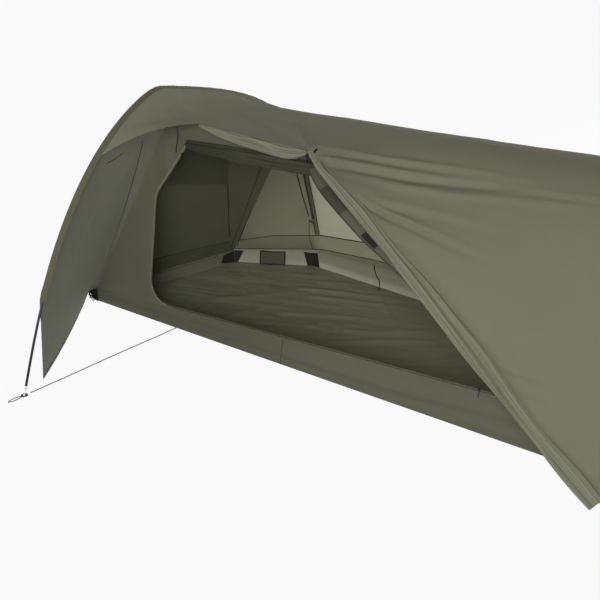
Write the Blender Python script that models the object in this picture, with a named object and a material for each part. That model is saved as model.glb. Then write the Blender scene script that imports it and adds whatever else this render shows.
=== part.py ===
"""Lightweight one-person arch tent, in metres, +Z up.

The origin is the middle of the groundsheet's underside. +X runs towards the foot end,
-Y is the side with the door and the vestibule.
"""

from math import ceil, cos, pi, sin, tan

import bpy
import numpy as np

# Ground plan of the inner tent
FLOOR_LENGTH = 2.28
FLOOR_HEAD_WIDTH = 0.90
FLOOR_HEAD_END_WIDTH = 0.715
FLOOR_FOOT_WIDTH = 0.71
HEAD_CORNER_INSET = 0.13
TUB_HEAD_HEIGHT = 0.060
TUB_FOOT_HEIGHT = 0.165

# Inner tent above the tub
INNER_HEAD_DROP = 0.040
INNER_RIDGE_DROP = 0.050
INNER_RIDGE_SAG = 0.020
NEAR_WALL_HEIGHT = 0.79
NEAR_WALL_FOOT_HEIGHT = 0.66
NEAR_WALL_DIP = 0.03
FOOT_WALL_INSET = 0.10
INNER_TOP_GAP = 0.004
INNER_ARCH_GAP = 0.03
INNER_FOOT_SHOULDER = 0.10

# Inner door, on the near wall
DOOR_HEAD_X = 0.815
DOOR_SHOULDER_X = 0.745
DOOR_SHOULDER_Z = 0.53
DOOR_TOP_HEAD_X = 0.565
DOOR_TOP_FOOT_X = 0.16
DOOR_TOP_Z = 0.745
DOOR_FOOT_X = 0.75
DOOR_SILL_RISE = 0.012
DOOR_CORNER_RADIUS = 0.075
DOOR_TOP_RADIUS = 0.02
DOOR_FOOT_SHOULDER_DROP = 0.15
DOOR_FOOT_SHOULDER_RADIUS = 0.10
DOOR_HEAD_SHOULDER_RADIUS = 0.12

# Main arch
ARCH_FROM_HEAD = 0.46
ARCH_LEAN = 0.072
VESTIBULE_DEPTH = 0.72
FOOT_CLEARANCE = 0.030
PEAK_HEIGHT = 0.953
PEAK_OVERHANG = 0.11
ELBOW_NEAR = 0.04
ELBOW_FAR = 0.04
ELBOW_NEAR_DROP = 0.022
ELBOW_FAR_DROP = 0.003

# Foot arch
FOOT_ARCH_GAP = 0.05
FOOT_VESTIBULE_DEPTH = 0.25
CREST_HEIGHT = 0.882
CREST_INBOARD = 0.23
CREST_HALF_WIDTH = 0.09
CREST_DROP = 0.012

# Poles
POLE_RADIUS = 0.00425
POLE_WALL = 0.0007
SPIGOT_CLEARANCE = 0.00025
SPIGOT_WALL = 0.0008
POLE_END = 0.036
TIP_STEM = 0.014
TIP_COLLAR = 0.008
TIP_TAPER = 0.004
TIP_COLLAR_STEP = 0.0006
TIP_PIN_RADIUS = 0.0026
SHOCK_CORD_RADIUS = 0.00125

# Pole sleeves
SLEEVE_HALF_WIDTH = 0.0145
SLEEVE_WALL = 0.0009
SLEEVE_CLEARANCE = 0.0003

# Fly
CLOTH = 0.0016
SEAM_GAP = 0.0004
HEM_HEIGHT = 0.030
HEM_HEAD_MARGIN = 0.050
HEM_NEAR_MARGIN = 0.006
HEM_FAR_MARGIN = 0.045
HEM_BOW = 0.045
HEM_NEAR_DIP = 0.018
HEM_HEAD_RISE = 0.018
HEM_TURN_RISE = 0.010
HEM_FAR_RISE = 0.012
HEM_TURN = 0.035
HEAD_SEAM_BOW = 0.040
HEAD_PANEL_BULGE = 0.018
TIP_HEM_HEIGHT = 0.030
TIP_HEM_INSET = 0.070
EYEBROW_RISE = 0.026
HEADER_OVERHANG = 0.08
HEADER_START_X = 0.434
HEADER_HEIGHT = 0.848
TOGGLE_X = 0.048
TOGGLE_HEIGHT = 0.822
RIDGE_DEPTH = 0.25
RIDGE_SAG = 0.030
ARCH_BOW_REACH = 0.16
FOOT_END_RUN = 0.27
FOOT_END_INSET = 0.02
FOOT_END_BOW = 0.02

# Door rolls
FLY_ROLL_RADIUS = 0.026
FLY_ROLL_FOLD = 0.12
FLY_ROLL_SHARE = 0.935
FLY_ROLL_TAPER = 0.46
STRIP_FROM_SHARE = 0.03
STRIP_TO_SHARE = 0.955
STRIP_TAPER = 0.42
STRIP_HALF_WIDTH = 0.042
STRIP_HALF_DEPTH = 0.014
STRIP_FOLD = 0.16
STRIP_CLEARANCE = 0.0006
INNER_ROLL_RADIUS = 0.023
INNER_ROLL_FOLD = 0.10
INNER_ROLL_TAPER = 0.55
INNER_ROLL_INSET = 0.012

# Feet, straps and buckles
EYELET_THICKNESS = 0.003
EYELET_RADIUS = 0.012
EYELET_HOLE = 0.0039
FOOT_STRAP_INSET = 0.06
GROUND_STRAP_WIDTH = 0.008
GROUND_STRAP_THICKNESS = 0.0015
PEG_LOOP_LENGTH = 0.055
PEG_LOOP_WIDTH = 0.016
PEG_LOOP_END = 0.004
PEG_LOOP_SIDE = 0.003
BUCKLE_WIDTH = 0.022
BUCKLE_PITCH = 0.009
BUCKLE_BAR_RADIUS = 0.0018
BUCKLE_BAR_INSET = 0.0008
CORNER_REACH = 0.040
CORNER_INSET = 0.06
CORNER_RISE = 0.020
CORNER_STRAP_WIDTH = 0.012
CORNER_STRAP_THICKNESS = 0.0012
CORNER_STRAP_TAIL = 0.0035
CORNER_STRAP_SET_OFF = 0.0006

# Door fittings
ZIP_WIDTH = 0.009
ZIP_THICKNESS = 0.0016
ZIP_GAP = 0.0004
SLIDER_LENGTH = 0.010
SLIDER_WALL = 0.0014
SLIDER_LIP = 0.0022
SLIDER_FRONT_LIP = 0.0035
UPPER_SLIDER_SHARE = 0.18
LOWER_SLIDER_SHARE = 0.93
PULL_LENGTH = 0.024
PULL_WIDTH = 0.005
PULL_THICKNESS = 0.0016
PULL_SET_OFF = 0.002
TOGGLE_LENGTH = 0.026
TOGGLE_RADIUS = 0.0032
TOGGLE_CORD_RADIUS = 0.0011
TOGGLE_CORD_TOP = 0.0005
TOGGLE_CHAMFER = 0.002
TOGGLE_WAIST = 0.004
TOGGLE_SETBACKS = (0.019, 0.006)
TOGGLE_CORDS = (0.012, 0.005)
POCKET_WIDTH = 0.115
POCKET_HEIGHT = 0.060
PATCH_WIDTH = 0.060
PATCH_HEIGHT = 0.055
PATCH_THICKNESS = 0.0012
PATCH_INSET = 0.004

# Fineness of the faceted shapes
TUBE_SIDES = 8
MAIN_SECTION_STEPS = (6, 6, 9, 5, 5, 5)
FOOT_SECTION_STEPS = (5, 5, 5, 5, 5)
SLEEVE_START = 4
ROOF_START = 11

GAP = 0.0003

# Places that follow from the sizes above
HEAD_X = -FLOOR_LENGTH / 2
FOOT_X = FLOOR_LENGTH / 2
NEAR_Y = -FLOOR_HEAD_WIDTH / 2
ARCH_X = HEAD_X + ARCH_FROM_HEAD
FAR_ARCH_Y = NEAR_Y + FLOOR_HEAD_WIDTH
FAR_HEAD_Y = NEAR_Y + FLOOR_HEAD_END_WIDTH
FAR_FOOT_Y = NEAR_Y + FLOOR_FOOT_WIDTH
FOOT_ARCH_X = FOOT_X + FOOT_ARCH_GAP
FLOOR_PLAN = (
    (HEAD_X, NEAR_Y),
    (FOOT_X, NEAR_Y),
    (FOOT_X, FAR_FOOT_Y),
    (ARCH_X, FAR_ARCH_Y),
    (HEAD_X + HEAD_CORNER_INSET, FAR_HEAD_Y),
)


def vec(*values):
    return np.array(values, float)


def unit(vector):
    return vector / np.linalg.norm(vector)


def lerp(a, b, t):
    return a + (b - a) * t


def tub_height(x):
    return lerp(TUB_HEAD_HEIGHT, TUB_FOOT_HEIGHT, (x - HEAD_X) / FLOOR_LENGTH)


# Materials


def material(name, colour, roughness, metallic=0.0):
    made = bpy.data.materials.new(name)
    made.use_nodes = True
    shader = made.node_tree.nodes["Principled BSDF"]
    shader.inputs["Base Color"].default_value = (*colour, 1.0)
    shader.inputs["Roughness"].default_value = roughness
    shader.inputs["Metallic"].default_value = metallic
    return made


def make_materials():
    return {
        "fly": material("fly cloth", (0.125, 0.130, 0.095), 0.65),
        "sleeve": material("sleeve cloth", (0.110, 0.100, 0.060), 0.70),
        "inner": material("inner cloth", (0.160, 0.165, 0.120), 0.75),
        "floor": material("groundsheet cloth", (0.055, 0.057, 0.035), 0.55),
        "pole": material("black anodised aluminium", (0.020, 0.020, 0.022), 0.35, 1.0),
        "tip": material("bare aluminium", (0.60, 0.61, 0.62), 0.35, 1.0),
        "cord": material("braided cord", (0.030, 0.030, 0.028), 0.85),
        "webbing": material("black webbing", (0.022, 0.022, 0.020), 0.80),
        "plastic": material("black acetal", (0.018, 0.018, 0.018), 0.45),
        "mesh": material("pocket mesh", (0.060, 0.060, 0.045), 0.85),
    }


# Mesh builders


def signed_volume(points, faces):
    total = 0.0
    for face in faces:
        first = points[face[0]]
        for second, third in zip(face[1:-1], face[2:]):
            total += np.dot(first, np.cross(points[second], points[third]))
    return total


def add_mesh(name, points, faces, finish, smooth_angle=0.7):
    if signed_volume(points, faces) < 0:
        faces = [tuple(reversed(face)) for face in faces]
    mesh = bpy.data.meshes.new(name)
    mesh.from_pydata([tuple(map(float, point)) for point in points], [], faces)
    mesh.materials.append(finish)
    mesh.shade_smooth()
    mesh.set_sharp_from_angle(angle=smooth_angle)
    obj = bpy.data.objects.new(name, mesh)
    bpy.context.scene.collection.objects.link(obj)
    return obj


def centred(obj, pivot):
    """Moves the object's origin to its joint's axis, with its mesh left in place."""
    for vertex in obj.data.vertices:
        vertex.co = [c - p for c, p in zip(vertex.co, pivot)]
    obj.location = pivot
    return obj


def split_quad(points, place):
    """A grid cell as two triangles across its shorter diagonal, so that both faces of a sheet match."""
    a, columns = place
    b, c, d = a + 1, a + columns + 1, a + columns
    if np.linalg.norm(points[c] - points[a]) <= np.linalg.norm(points[d] - points[b]):
        return (a, b, c), (a, c, d)
    return (a, b, d), (b, c, d)


def sheet(name, grid, finish, thickness=CLOTH):
    """A closed shell over a grid of points, thickened to the side that its normals face."""
    grid = np.asarray(grid, float)
    rows, columns = grid.shape[:2]
    along = np.gradient(grid, axis=0)
    across = np.gradient(grid, axis=1)
    normals = np.cross(along, across)
    normals /= np.linalg.norm(normals, axis=2, keepdims=True)
    points = np.concatenate([grid.reshape(-1, 3), (grid + normals * thickness).reshape(-1, 3)])
    top = rows * columns
    faces = []
    for i in range(rows - 1):
        for j in range(columns - 1):
            for triangle in split_quad(points, (i * columns + j, columns)):
                faces.append(triangle)
                faces.append(tuple(top + corner for corner in reversed(triangle)))
    rim = [j for j in range(columns)]
    rim += [i * columns + columns - 1 for i in range(1, rows)]
    rim += [(rows - 1) * columns + j for j in range(columns - 2, -1, -1)]
    rim += [i * columns for i in range(rows - 2, 0, -1)]
    for a, b in zip(rim, rim[1:] + rim[:1]):
        faces.append((b, a, top + a, top + b))
    return add_mesh(name, points, faces, finish)


def loft(name, rings, finish, looped=False, smooth_angle=0.7):
    """Skins rings of equal length. Looped joins the last ring to the first, as in a bored tube."""
    sides = len(rings[0])
    points = np.concatenate(rings)
    faces = []
    pairs = list(zip(range(len(rings) - 1), range(1, len(rings))))
    if looped:
        pairs.append((len(rings) - 1, 0))
    for i, j in pairs:
        for k in range(sides):
            m = (k + 1) % sides
            faces.append((i * sides + k, i * sides + m, j * sides + m, j * sides + k))
    if not looped:
        faces.append(tuple(reversed(range(sides))))
        faces.append(tuple((len(rings) - 1) * sides + k for k in range(sides)))
    return add_mesh(name, points, faces, finish, smooth_angle)


def ring(centre, side, up, half_side, half_up, sides=TUBE_SIDES):
    """A ring whose flats face along side and up, at the stated distances."""
    grow = 1 / cos(pi / sides)
    turns = [2 * pi * (k + 0.5) / sides for k in range(sides)]
    return np.array(
        [centre + side * (half_side * grow * cos(a)) + up * (half_up * grow * sin(a)) for a in turns]
    )


def plate(name, outline, to_world, low, high, finish):
    """An outline, drawn in a plane, made a plate between two heights over that plane."""
    count = len(outline)
    points = [to_world(a, b, low) for a, b in outline] + [to_world(a, b, high) for a, b in outline]
    faces = [tuple(reversed(range(count))), tuple(range(count, 2 * count))]
    faces += [(i, (i + 1) % count, count + (i + 1) % count, count + i) for i in range(count)]
    return add_mesh(name, np.array(points), faces, finish, 0.5)


def holed_plate(name, outline, hole, to_world, low, high, finish):
    """A plate whose outline and hole have as many points as each other, in the same order."""
    rings = []
    for line, height in ((outline, low), (outline, high), (hole, high), (hole, low)):
        rings.append(np.array([to_world(a, b, height) for a, b in line]))
    return loft(name, rings, finish, looped=True, smooth_angle=0.5)


def rounded(corners, radii, steps=5):
    """A closed outline with each corner rounded to its own radius."""
    outline = []
    count = len(corners)
    for i, radius in enumerate(radii):
        here = vec(*corners[i])
        back = unit(vec(*corners[i - 1]) - here)
        ahead = unit(vec(*corners[(i + 1) % count]) - here)
        half = np.arccos(np.clip(np.dot(back, ahead), -1, 1)) / 2
        inward = unit(back + ahead)
        centre = here + inward * radius / sin(half)
        start = here + back * radius / tan(half) - centre
        end = here + ahead * radius / tan(half) - centre
        sweep = pi - 2 * half
        for k in range(steps + 1):
            t = k / steps
            outline.append(centre + (start * sin((1 - t) * sweep) + end * sin(t * sweep)) / sin(sweep))
    return outline


def moved_out(outline, distance):
    """The outline, counter-clockwise, grown outwards by a distance."""
    grown = []
    count = len(outline)
    for i in range(count):
        before = unit(outline[i] - outline[i - 1])
        after = unit(outline[(i + 1) % count] - outline[i])
        normal = unit(vec(before[1] + after[1], -before[0] - after[0]))
        stretch = 1 / max(0.3, np.dot(normal, vec(after[1], -after[0])))
        grown.append(outline[i] + normal * distance * stretch)
    return grown


# Curves


def bezier(control, t):
    a, b, c, d = control
    s = 1 - t
    return s**3 * a + 3 * s * s * t * b + 3 * s * t * t * c + t**3 * d


def distances(line):
    return np.concatenate([[0], np.cumsum(np.linalg.norm(np.diff(line, axis=0), axis=1))])


def at_distances(line, wanted):
    run = distances(line)
    return np.array([[np.interp(d, run, line[:, axis]) for axis in range(line.shape[1])] for d in wanted])


def evenly(line, count):
    return at_distances(line, np.linspace(0, distances(line)[-1], count))


# Arches


class Arch:
    """A bent pole in one plane, as mitred stations that every tube along it shares."""

    def __init__(self, x, lean, outline, section_steps):
        self.side = unit(vec(1, 0, -lean))
        line = np.array([vec(x + lean * z, y, z) for y, z in outline])
        length = distances(line)[-1]
        section = (length - 2 * POLE_END) / len(section_steps)
        wanted = [POLE_END]
        self.joints = [0]
        for index, steps in enumerate(section_steps):
            start = POLE_END + index * section
            wanted += [start + section * (k + 1) / steps for k in range(steps)]
            self.joints.append(self.joints[-1] + steps)
        self.points = at_distances(line, wanted)
        self.feet = (self.ground(0, 1), self.ground(-1, -2))
        self.tangents, self.ups = [], []
        last = len(self.points) - 1
        for i in range(last + 1):
            before = unit(self.points[i] - self.points[max(0, i - 1)]) if i else None
            after = unit(self.points[min(last, i + 1)] - self.points[i]) if i < last else None
            before = after if before is None else before
            after = before if after is None else after
            tangent = unit(before + after)
            mitre = 1 / np.dot(tangent, after)
            self.tangents.append(tangent)
            self.ups.append(np.cross(self.side, tangent) * mitre)
        self.last = last

    def ground(self, end, inner):
        """Where a straight tip in line with the last length of pole passes through its eyelet."""
        inward = self.points[inner] - self.points[end]
        return self.points[end] - inward * (self.points[end][2] - EYELET_THICKNESS / 2) / inward[2]

    def ring(self, index, half_side, half_up, shift=0.0, sides=TUBE_SIDES):
        centre = self.points[index] + self.tangents[index] * shift
        return ring(centre, self.side, self.ups[index], half_side, half_up, sides)

    def edge(self, index, offset):
        """A point beside the sleeve, on the side that the sign of the offset gives."""
        return self.points[index] + self.side * offset


def arch_outline(near_foot, crest, far_foot, near_shape, far_shape, elbow):
    """Across and height along a pole: a near leg, a tighter crest and a far leg."""
    near_half, near_drop, far_half, far_drop = elbow
    near_end = vec(crest[0] - near_half, crest[1] - near_drop)
    far_start = vec(crest[0] + far_half, crest[1] - far_drop)
    near_span, far_span = near_end - vec(near_foot, 0), vec(far_foot, 0) - far_start
    near_leg = [vec(near_foot, 0)]
    near_leg += [near_leg[0] + near_span * vec(*share) for share in near_shape]
    near_leg.append(near_end)
    far_leg = [far_start]
    far_leg += [far_start + far_span * vec(*share) for share in far_shape]
    far_leg.append(vec(far_foot, 0))
    reach = np.linalg.norm(far_start - near_end) / 3
    elbow_curve = (
        near_end,
        near_end + unit(near_end - near_leg[2]) * reach,
        far_start - unit(far_leg[1] - far_start) * reach,
        far_start,
    )
    line = []
    for control, count in ((near_leg, 60), (elbow_curve, 16), (far_leg, 60)):
        line += [bezier(control, k / count) for k in range(count)]
    line.append(vec(far_foot, 0))
    return np.array(line)


def main_arch():
    outline = arch_outline(
        near_foot=NEAR_Y - VESTIBULE_DEPTH,
        crest=(NEAR_Y - PEAK_OVERHANG, PEAK_HEIGHT),
        far_foot=FAR_ARCH_Y + FOOT_CLEARANCE,
        near_shape=((0.085, 0.16), (0.290, 0.785)),
        far_shape=((0.570, 0.085), (0.900, 0.170)),
        elbow=(ELBOW_NEAR, ELBOW_NEAR_DROP, ELBOW_FAR, ELBOW_FAR_DROP),
    )
    return Arch(ARCH_X, ARCH_LEAN, outline, MAIN_SECTION_STEPS)


def foot_arch():
    outline = arch_outline(
        near_foot=NEAR_Y - FOOT_VESTIBULE_DEPTH,
        crest=(NEAR_Y + CREST_INBOARD, CREST_HEIGHT),
        far_foot=FAR_FOOT_Y + FOOT_CLEARANCE,
        near_shape=((0.10, 0.45), (0.42, 0.92)),
        far_shape=((0.58, 0.08), (0.92, 0.50)),
        elbow=(CREST_HALF_WIDTH, CREST_DROP, CREST_HALF_WIDTH, CREST_DROP),
    )
    return Arch(FOOT_ARCH_X, 0.0, outline, FOOT_SECTION_STEPS)


def pole_sections(prefix, arch, finish):
    """Hollow sections. All but the last carry a glued-in spigot that enters the next section."""
    bore = POLE_RADIUS - POLE_WALL
    spigot = bore - SPIGOT_CLEARANCE
    spigot_bore = spigot - SPIGOT_WALL
    for number, (start, end) in enumerate(zip(arch.joints, arch.joints[1:]), 1):
        first_shift = GAP / 2 if number > 1 else 0
        last_section = end == arch.last
        end_shift = 0 if last_section else -GAP / 2
        shifts = {start: first_shift, end: end_shift}
        run = range(start, end + 1)
        rings = [arch.ring(i, POLE_RADIUS, POLE_RADIUS, shifts.get(i, 0)) for i in run]
        if last_section:
            rings += [arch.ring(i, bore, bore, shifts.get(i, 0)) for i in reversed(run)]
        else:
            rings.append(arch.ring(end, spigot, spigot, end_shift))
            rings.append(arch.ring(end + 1, spigot, spigot))
            rings.append(arch.ring(end + 1, spigot_bore, spigot_bore))
            rings += [arch.ring(i, spigot_bore, spigot_bore) for i in (end, end - 1)]
            rings += [arch.ring(i, bore, bore, shifts.get(i, 0)) for i in reversed(range(start, end))]
        loft(f"{prefix}_pole_section_{number}", rings, finish, looped=True)


def shock_cord(prefix, arch, finish):
    start = TIP_STEM + GAP
    rings = []
    for i in range(arch.last + 1):
        shift = start if i == 0 else (-start if i == arch.last else 0)
        rings.append(arch.ring(i, SHOCK_CORD_RADIUS, SHOCK_CORD_RADIUS, shift, sides=6))
    loft(f"{prefix}_pole_shock_cord", rings, finish)


def pole_tip(name, arch, index, finish):
    """A turned tip: a stem in the pole's bore, a collar under its end and a pin to the eyelet."""
    inner = 1 if index == 0 else arch.last - 1
    inward = unit(arch.points[inner] - arch.points[index])
    up = np.cross(arch.side, inward)
    base = arch.points[index]
    stem = POLE_RADIUS - POLE_WALL - SPIGOT_CLEARANCE
    drop = (base[2] - GAP - EYELET_THICKNESS * 0.3) / inward[2]
    profile = (
        (TIP_STEM, stem),
        (-GAP, stem),
        (-GAP, POLE_RADIUS + TIP_COLLAR_STEP),
        (-TIP_COLLAR, POLE_RADIUS + TIP_COLLAR_STEP),
        (-TIP_COLLAR - TIP_TAPER, TIP_PIN_RADIUS),
        (-drop, TIP_PIN_RADIUS),
    )
    rings = [ring(base + inward * run, arch.side, up, radius, radius) for run, radius in profile]
    loft(name, rings, finish)


def sleeve(name, arch, start, end, finish):
    """A flat tunnel of cloth round the pole, close over it and wide to both sides."""
    bore_up = POLE_RADIUS + SLEEVE_CLEARANCE
    bore_side = SLEEVE_HALF_WIDTH - SLEEVE_WALL
    run = range(start, end + 1)
    rings = [arch.ring(i, SLEEVE_HALF_WIDTH, bore_up + SLEEVE_WALL) for i in run]
    rings += [arch.ring(i, bore_side, bore_up) for i in reversed(run)]
    loft(name, rings, finish, looped=True)


# Fly

SLEEVE_EDGE = SLEEVE_HALF_WIDTH + SEAM_GAP


def corner(index, reach, rise):
    """A point out and up from a corner of the floor, along the line that halves the corner."""
    here = vec(*FLOOR_PLAN[index])
    back = unit(vec(*FLOOR_PLAN[index - 1]) - here)
    ahead = unit(vec(*FLOOR_PLAN[(index + 1) % len(FLOOR_PLAN)]) - here)
    out = -unit(back + ahead)
    return vec(*(here + out * reach), rise)


def hem(start, end, count, rise, bow=None):
    """A hem between two corners, which rises a little between them as cut cloth does."""
    line = []
    for t in np.linspace(0, 1, count):
        point = lerp(start, end, t) + vec(0, 0, rise * 4 * t * (1 - t))
        line.append(point if bow is None else point + bow * 4 * t * (1 - t))
    return np.array(line)


def coons(bottom, top, left, right):
    """A grid between four edges. Bottom and top run alike, and so do left and right."""
    rows, columns = len(bottom), len(left)
    grid = np.zeros((rows, columns, 3))
    for i in range(rows):
        u = i / (rows - 1)
        for j in range(columns):
            v = j / (columns - 1)
            edges = lerp(bottom[i], top[i], v) + lerp(left[j], right[j], u)
            corners = lerp(lerp(bottom[0], bottom[-1], u), lerp(top[0], top[-1], u), v)
            grid[i, j] = edges - corners
    return grid


def hem_corner(index, margin):
    """A corner of the fly's hem, out past the head end of the floor."""
    x, y = FLOOR_PLAN[index]
    return vec(x - HEM_HEAD_MARGIN, y + margin, HEM_HEIGHT)


def nudged(line, towards):
    """An edge drawn back a little from its seam, towards another place on its own panel."""
    return np.array([point + unit(towards - point) * SEAM_GAP for point in line])


def peak_index(arch):
    return int(np.argmax([point[2] for point in arch.points]))


def ridge_index(arch, y):
    far_half = range(peak_index(arch), arch.last)
    return min(far_half, key=lambda i: abs(arch.points[i][1] - y))


def head_seam(main, count):
    """The seam from the near head corner of the fly up to the peak."""
    bottom = hem_corner(0, -HEM_NEAR_MARGIN)
    top = main.edge(peak_index(main), -SLEEVE_EDGE)
    inward = vec(HEAD_SEAM_BOW, 0, 0)
    return np.array([lerp(bottom, top, t) + inward * 4 * t * (1 - t) for t in np.linspace(0, 1, count)])


def vestibule_panel(main, finish):
    """The near panel at the head side: sleeve, head seam and a short hem to the pole's foot."""
    peak = peak_index(main)
    tip = main.points[0] + vec(0, TIP_HEM_INSET, TIP_HEM_HEIGHT - main.points[0][2])
    start = main.edge(SLEEVE_START, -SLEEVE_EDGE)
    arch_edge = [lerp(tip, start, t) for t in (0, 1 / 3, 2 / 3)]
    arch_edge += [main.edge(i, -SLEEVE_EDGE) for i in range(SLEEVE_START, peak)]
    columns = len(arch_edge)
    seam = nudged(head_seam(main, columns), tip)
    top = np.array([lerp(arch_edge[-1], main.edge(peak, -SLEEVE_EDGE), t) for t in np.linspace(0, 1, 7)])
    top[-1] = seam[-1]
    bottom = hem(arch_edge[0], seam[0], 7, -HEM_NEAR_DIP)
    sheet("fly_vestibule_panel", coons(bottom, top, arch_edge, seam)[::-1], finish)


def head_end_panel(main, finish):
    """The panel over the head end, from the head seam round to the main arch's far foot."""
    peak = peak_index(main)
    _, turn = seam_top(main)
    far_corner = hem_corner(4, HEM_FAR_MARGIN)
    foot = main.edge(main.last, -SLEEVE_EDGE)
    top = np.array([main.edge(i, -SLEEVE_EDGE) for i in range(peak, main.last + 1)])
    left = nudged(head_seam(main, 9), far_corner)
    top[0] = left[-1]
    last = foot - vec(HEM_TURN, CLOTH, 0)
    bottom = list(hem(left[0], far_corner, turn - peak + 1, HEM_HEAD_RISE))
    bottom += list(hem(far_corner, last, main.last - turn + 1, HEM_TURN_RISE))[1:]
    right = hem(last, foot, 9, 0.0)
    grid = []
    for i, (low, high) in enumerate(zip(bottom, top)):
        share = min(1.0, i / (turn - peak))
        line = []
        for k, t in enumerate(np.linspace(0, 1, 9)):
            seam_bow = left[k] - lerp(left[0], left[-1], t)
            bulge = vec(-1, 0, 0.5) * HEAD_PANEL_BULGE * 16 * t * (1 - t) * share * (1 - share)
            line.append(lerp(low, high, t) + seam_bow * (1 - share) ** 2 + bulge)
        grid.append(line)
    grid[-1] = right
    sheet("fly_head_end", grid[::-1], finish)


def roof_columns(main, foot):
    """Where the roof's columns stand: the eyebrow, the header, then the edge down to the foot."""
    start = main.points[ROOF_START][0]
    length = foot.points[0][0] - start
    header = (-HEADER_START_X - start) / length
    toggle = (TOGGLE_X - start) / length
    columns = [0, header * 0.5, header]
    columns += [lerp(header, toggle, k / 4) for k in range(1, 5)]
    columns += [lerp(toggle, 1, k / 7) for k in range(1, 8)]
    return columns, header, toggle


def header_points():
    header = vec(-HEADER_START_X, NEAR_Y - HEADER_OVERHANG, HEADER_HEIGHT)
    toggle = vec(TOGGLE_X, NEAR_Y - HEADER_OVERHANG, TOGGLE_HEIGHT)
    return header, toggle


def near_edge(main, foot, columns, header, toggle):
    """The roof's near edge: eyebrow over the door, header, and the door's foot-side edge."""
    start = main.edge(ROOF_START, SLEEVE_EDGE)
    end = foot.edge(0, -SLEEVE_EDGE)
    header_point, toggle_point = header_points()
    line = []
    for u in columns:
        if u <= header:
            t = u / header
            line.append(lerp(start, header_point, t) + vec(0, 0, EYEBROW_RISE * 4 * t * (1 - t)))
        elif u <= toggle:
            line.append(lerp(header_point, toggle_point, (u - header) / (toggle - header)))
        else:
            line.append(lerp(toggle_point, end, (u - toggle) / (1 - toggle)))
    return line


def roof_grid(main, foot):
    """Points of the roof, near edge to ridge, and of the back, ridge to far hem."""
    columns, header, toggle = roof_columns(main, foot)
    near = near_edge(main, foot, columns, header, toggle)
    ridge_main = ridge_index(main, NEAR_Y + RIDGE_DEPTH)
    ridge_foot = ridge_main - ROOF_START
    main_near = np.array([main.edge(i, SLEEVE_EDGE) for i in range(ROOF_START, ridge_main + 1)])
    main_far = np.array([main.edge(i, SLEEVE_EDGE) for i in range(ridge_main, main.last + 1)])
    foot_near = np.array([foot.edge(i, -SLEEVE_EDGE) for i in range(ridge_foot + 1)])
    foot_far = np.array([foot.edge(i, -SLEEVE_EDGE) for i in range(ridge_foot, foot.last + 1)])
    roof, back = [], []
    for u, near_point in zip(columns, near):
        arc = 4 * u * (1 - u)
        ridge = lerp(main_near[-1], foot_near[-1], u) - vec(0, 0, RIDGE_SAG * min(1, 12 * u * (1 - u)))
        far = lerp(main_far[-1], foot_far[-1], u) + vec(0, HEM_BOW * arc, HEM_FAR_RISE * arc)
        main_weight = max(0.0, 1 - u / ARCH_BOW_REACH) ** 3
        foot_weight = max(0.0, (u - toggle) / (1 - toggle))
        roof.append(blended(near_point, ridge, main_near, foot_near, main_weight, foot_weight))
        back.append(blended(ridge, far, main_far, foot_far, 1 - u, u))
    return np.array(roof), np.array(back)


def blended(start, end, first, second, first_weight, second_weight):
    """A line from start to end, bowed as two other lines are bowed from their own chords."""
    count = len(first)
    line = []
    for k in range(count):
        t = k / (count - 1)
        point = lerp(start, end, t)
        point = point + first_weight * (first[k] - lerp(first[0], first[-1], t))
        point = point + second_weight * (second[k] - lerp(second[0], second[-1], t))
        line.append(point)
    return line


def roof_panels(main, foot, finish):
    roof, back = roof_grid(main, foot)
    roof[:, -1] = nudged(roof[:, -1], roof[len(roof) // 2, 0])
    back[:, 0] = nudged(back[:, 0], back[len(back) // 2, -1])
    sheet("fly_roof", roof, finish)
    sheet("fly_back", back, finish)


def foot_end_panel(foot, finish):
    """The panel over the foot end, from the foot arch down to its own short hem."""
    top = np.array([foot.edge(i, SLEEVE_EDGE) for i in range(foot.last + 1)])
    near = vec(FOOT_X + FOOT_END_RUN, NEAR_Y + FOOT_END_INSET, HEM_HEIGHT)
    far = vec(FOOT_X + FOOT_END_RUN, FAR_FOOT_Y - FOOT_END_INSET, HEM_HEIGHT)
    bottom = hem(near, far, len(top), 0.0, vec(FOOT_END_BOW, 0, 0))
    left = hem(near, top[0], 7, 0.0)
    right = hem(far, top[-1], 7, 0.0)
    grid = coons(bottom, top, left, right)
    sheet("fly_foot_end", grid, finish)


def folded_tube(name, line, faces, half_widths, half_depths, folds, depth_of_fold, rest, finish, sides=16):
    """Gathered cloth: an oval tube with long folds, flattened along its facings.

    Each of its rings is moved until it only just reaches the line from the side that rest points to.
    """
    rings = []
    count = len(line)
    for i, centre in enumerate(line):
        tangent = unit(line[min(i + 1, count - 1)] - line[max(i - 1, 0)])
        side = unit(faces[i] - tangent * np.dot(faces[i], tangent))
        up = np.cross(side, tangent)
        loop = []
        for k in range(sides):
            angle = 2 * pi * k / sides
            swell = 1 + depth_of_fold * cos(folds * angle + 0.25 * i)
            across = side * half_depths[i] * swell * cos(angle)
            loop.append(centre + across + up * half_widths[i] * swell * sin(angle))
        loop = np.array(loop)
        towards = rest if rest is not None else -side
        reach = max(np.dot(point - centre, towards) for point in loop)
        rings.append(loop - towards * reach)
    return loft(name, rings, finish, smooth_angle=1.2)


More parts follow.
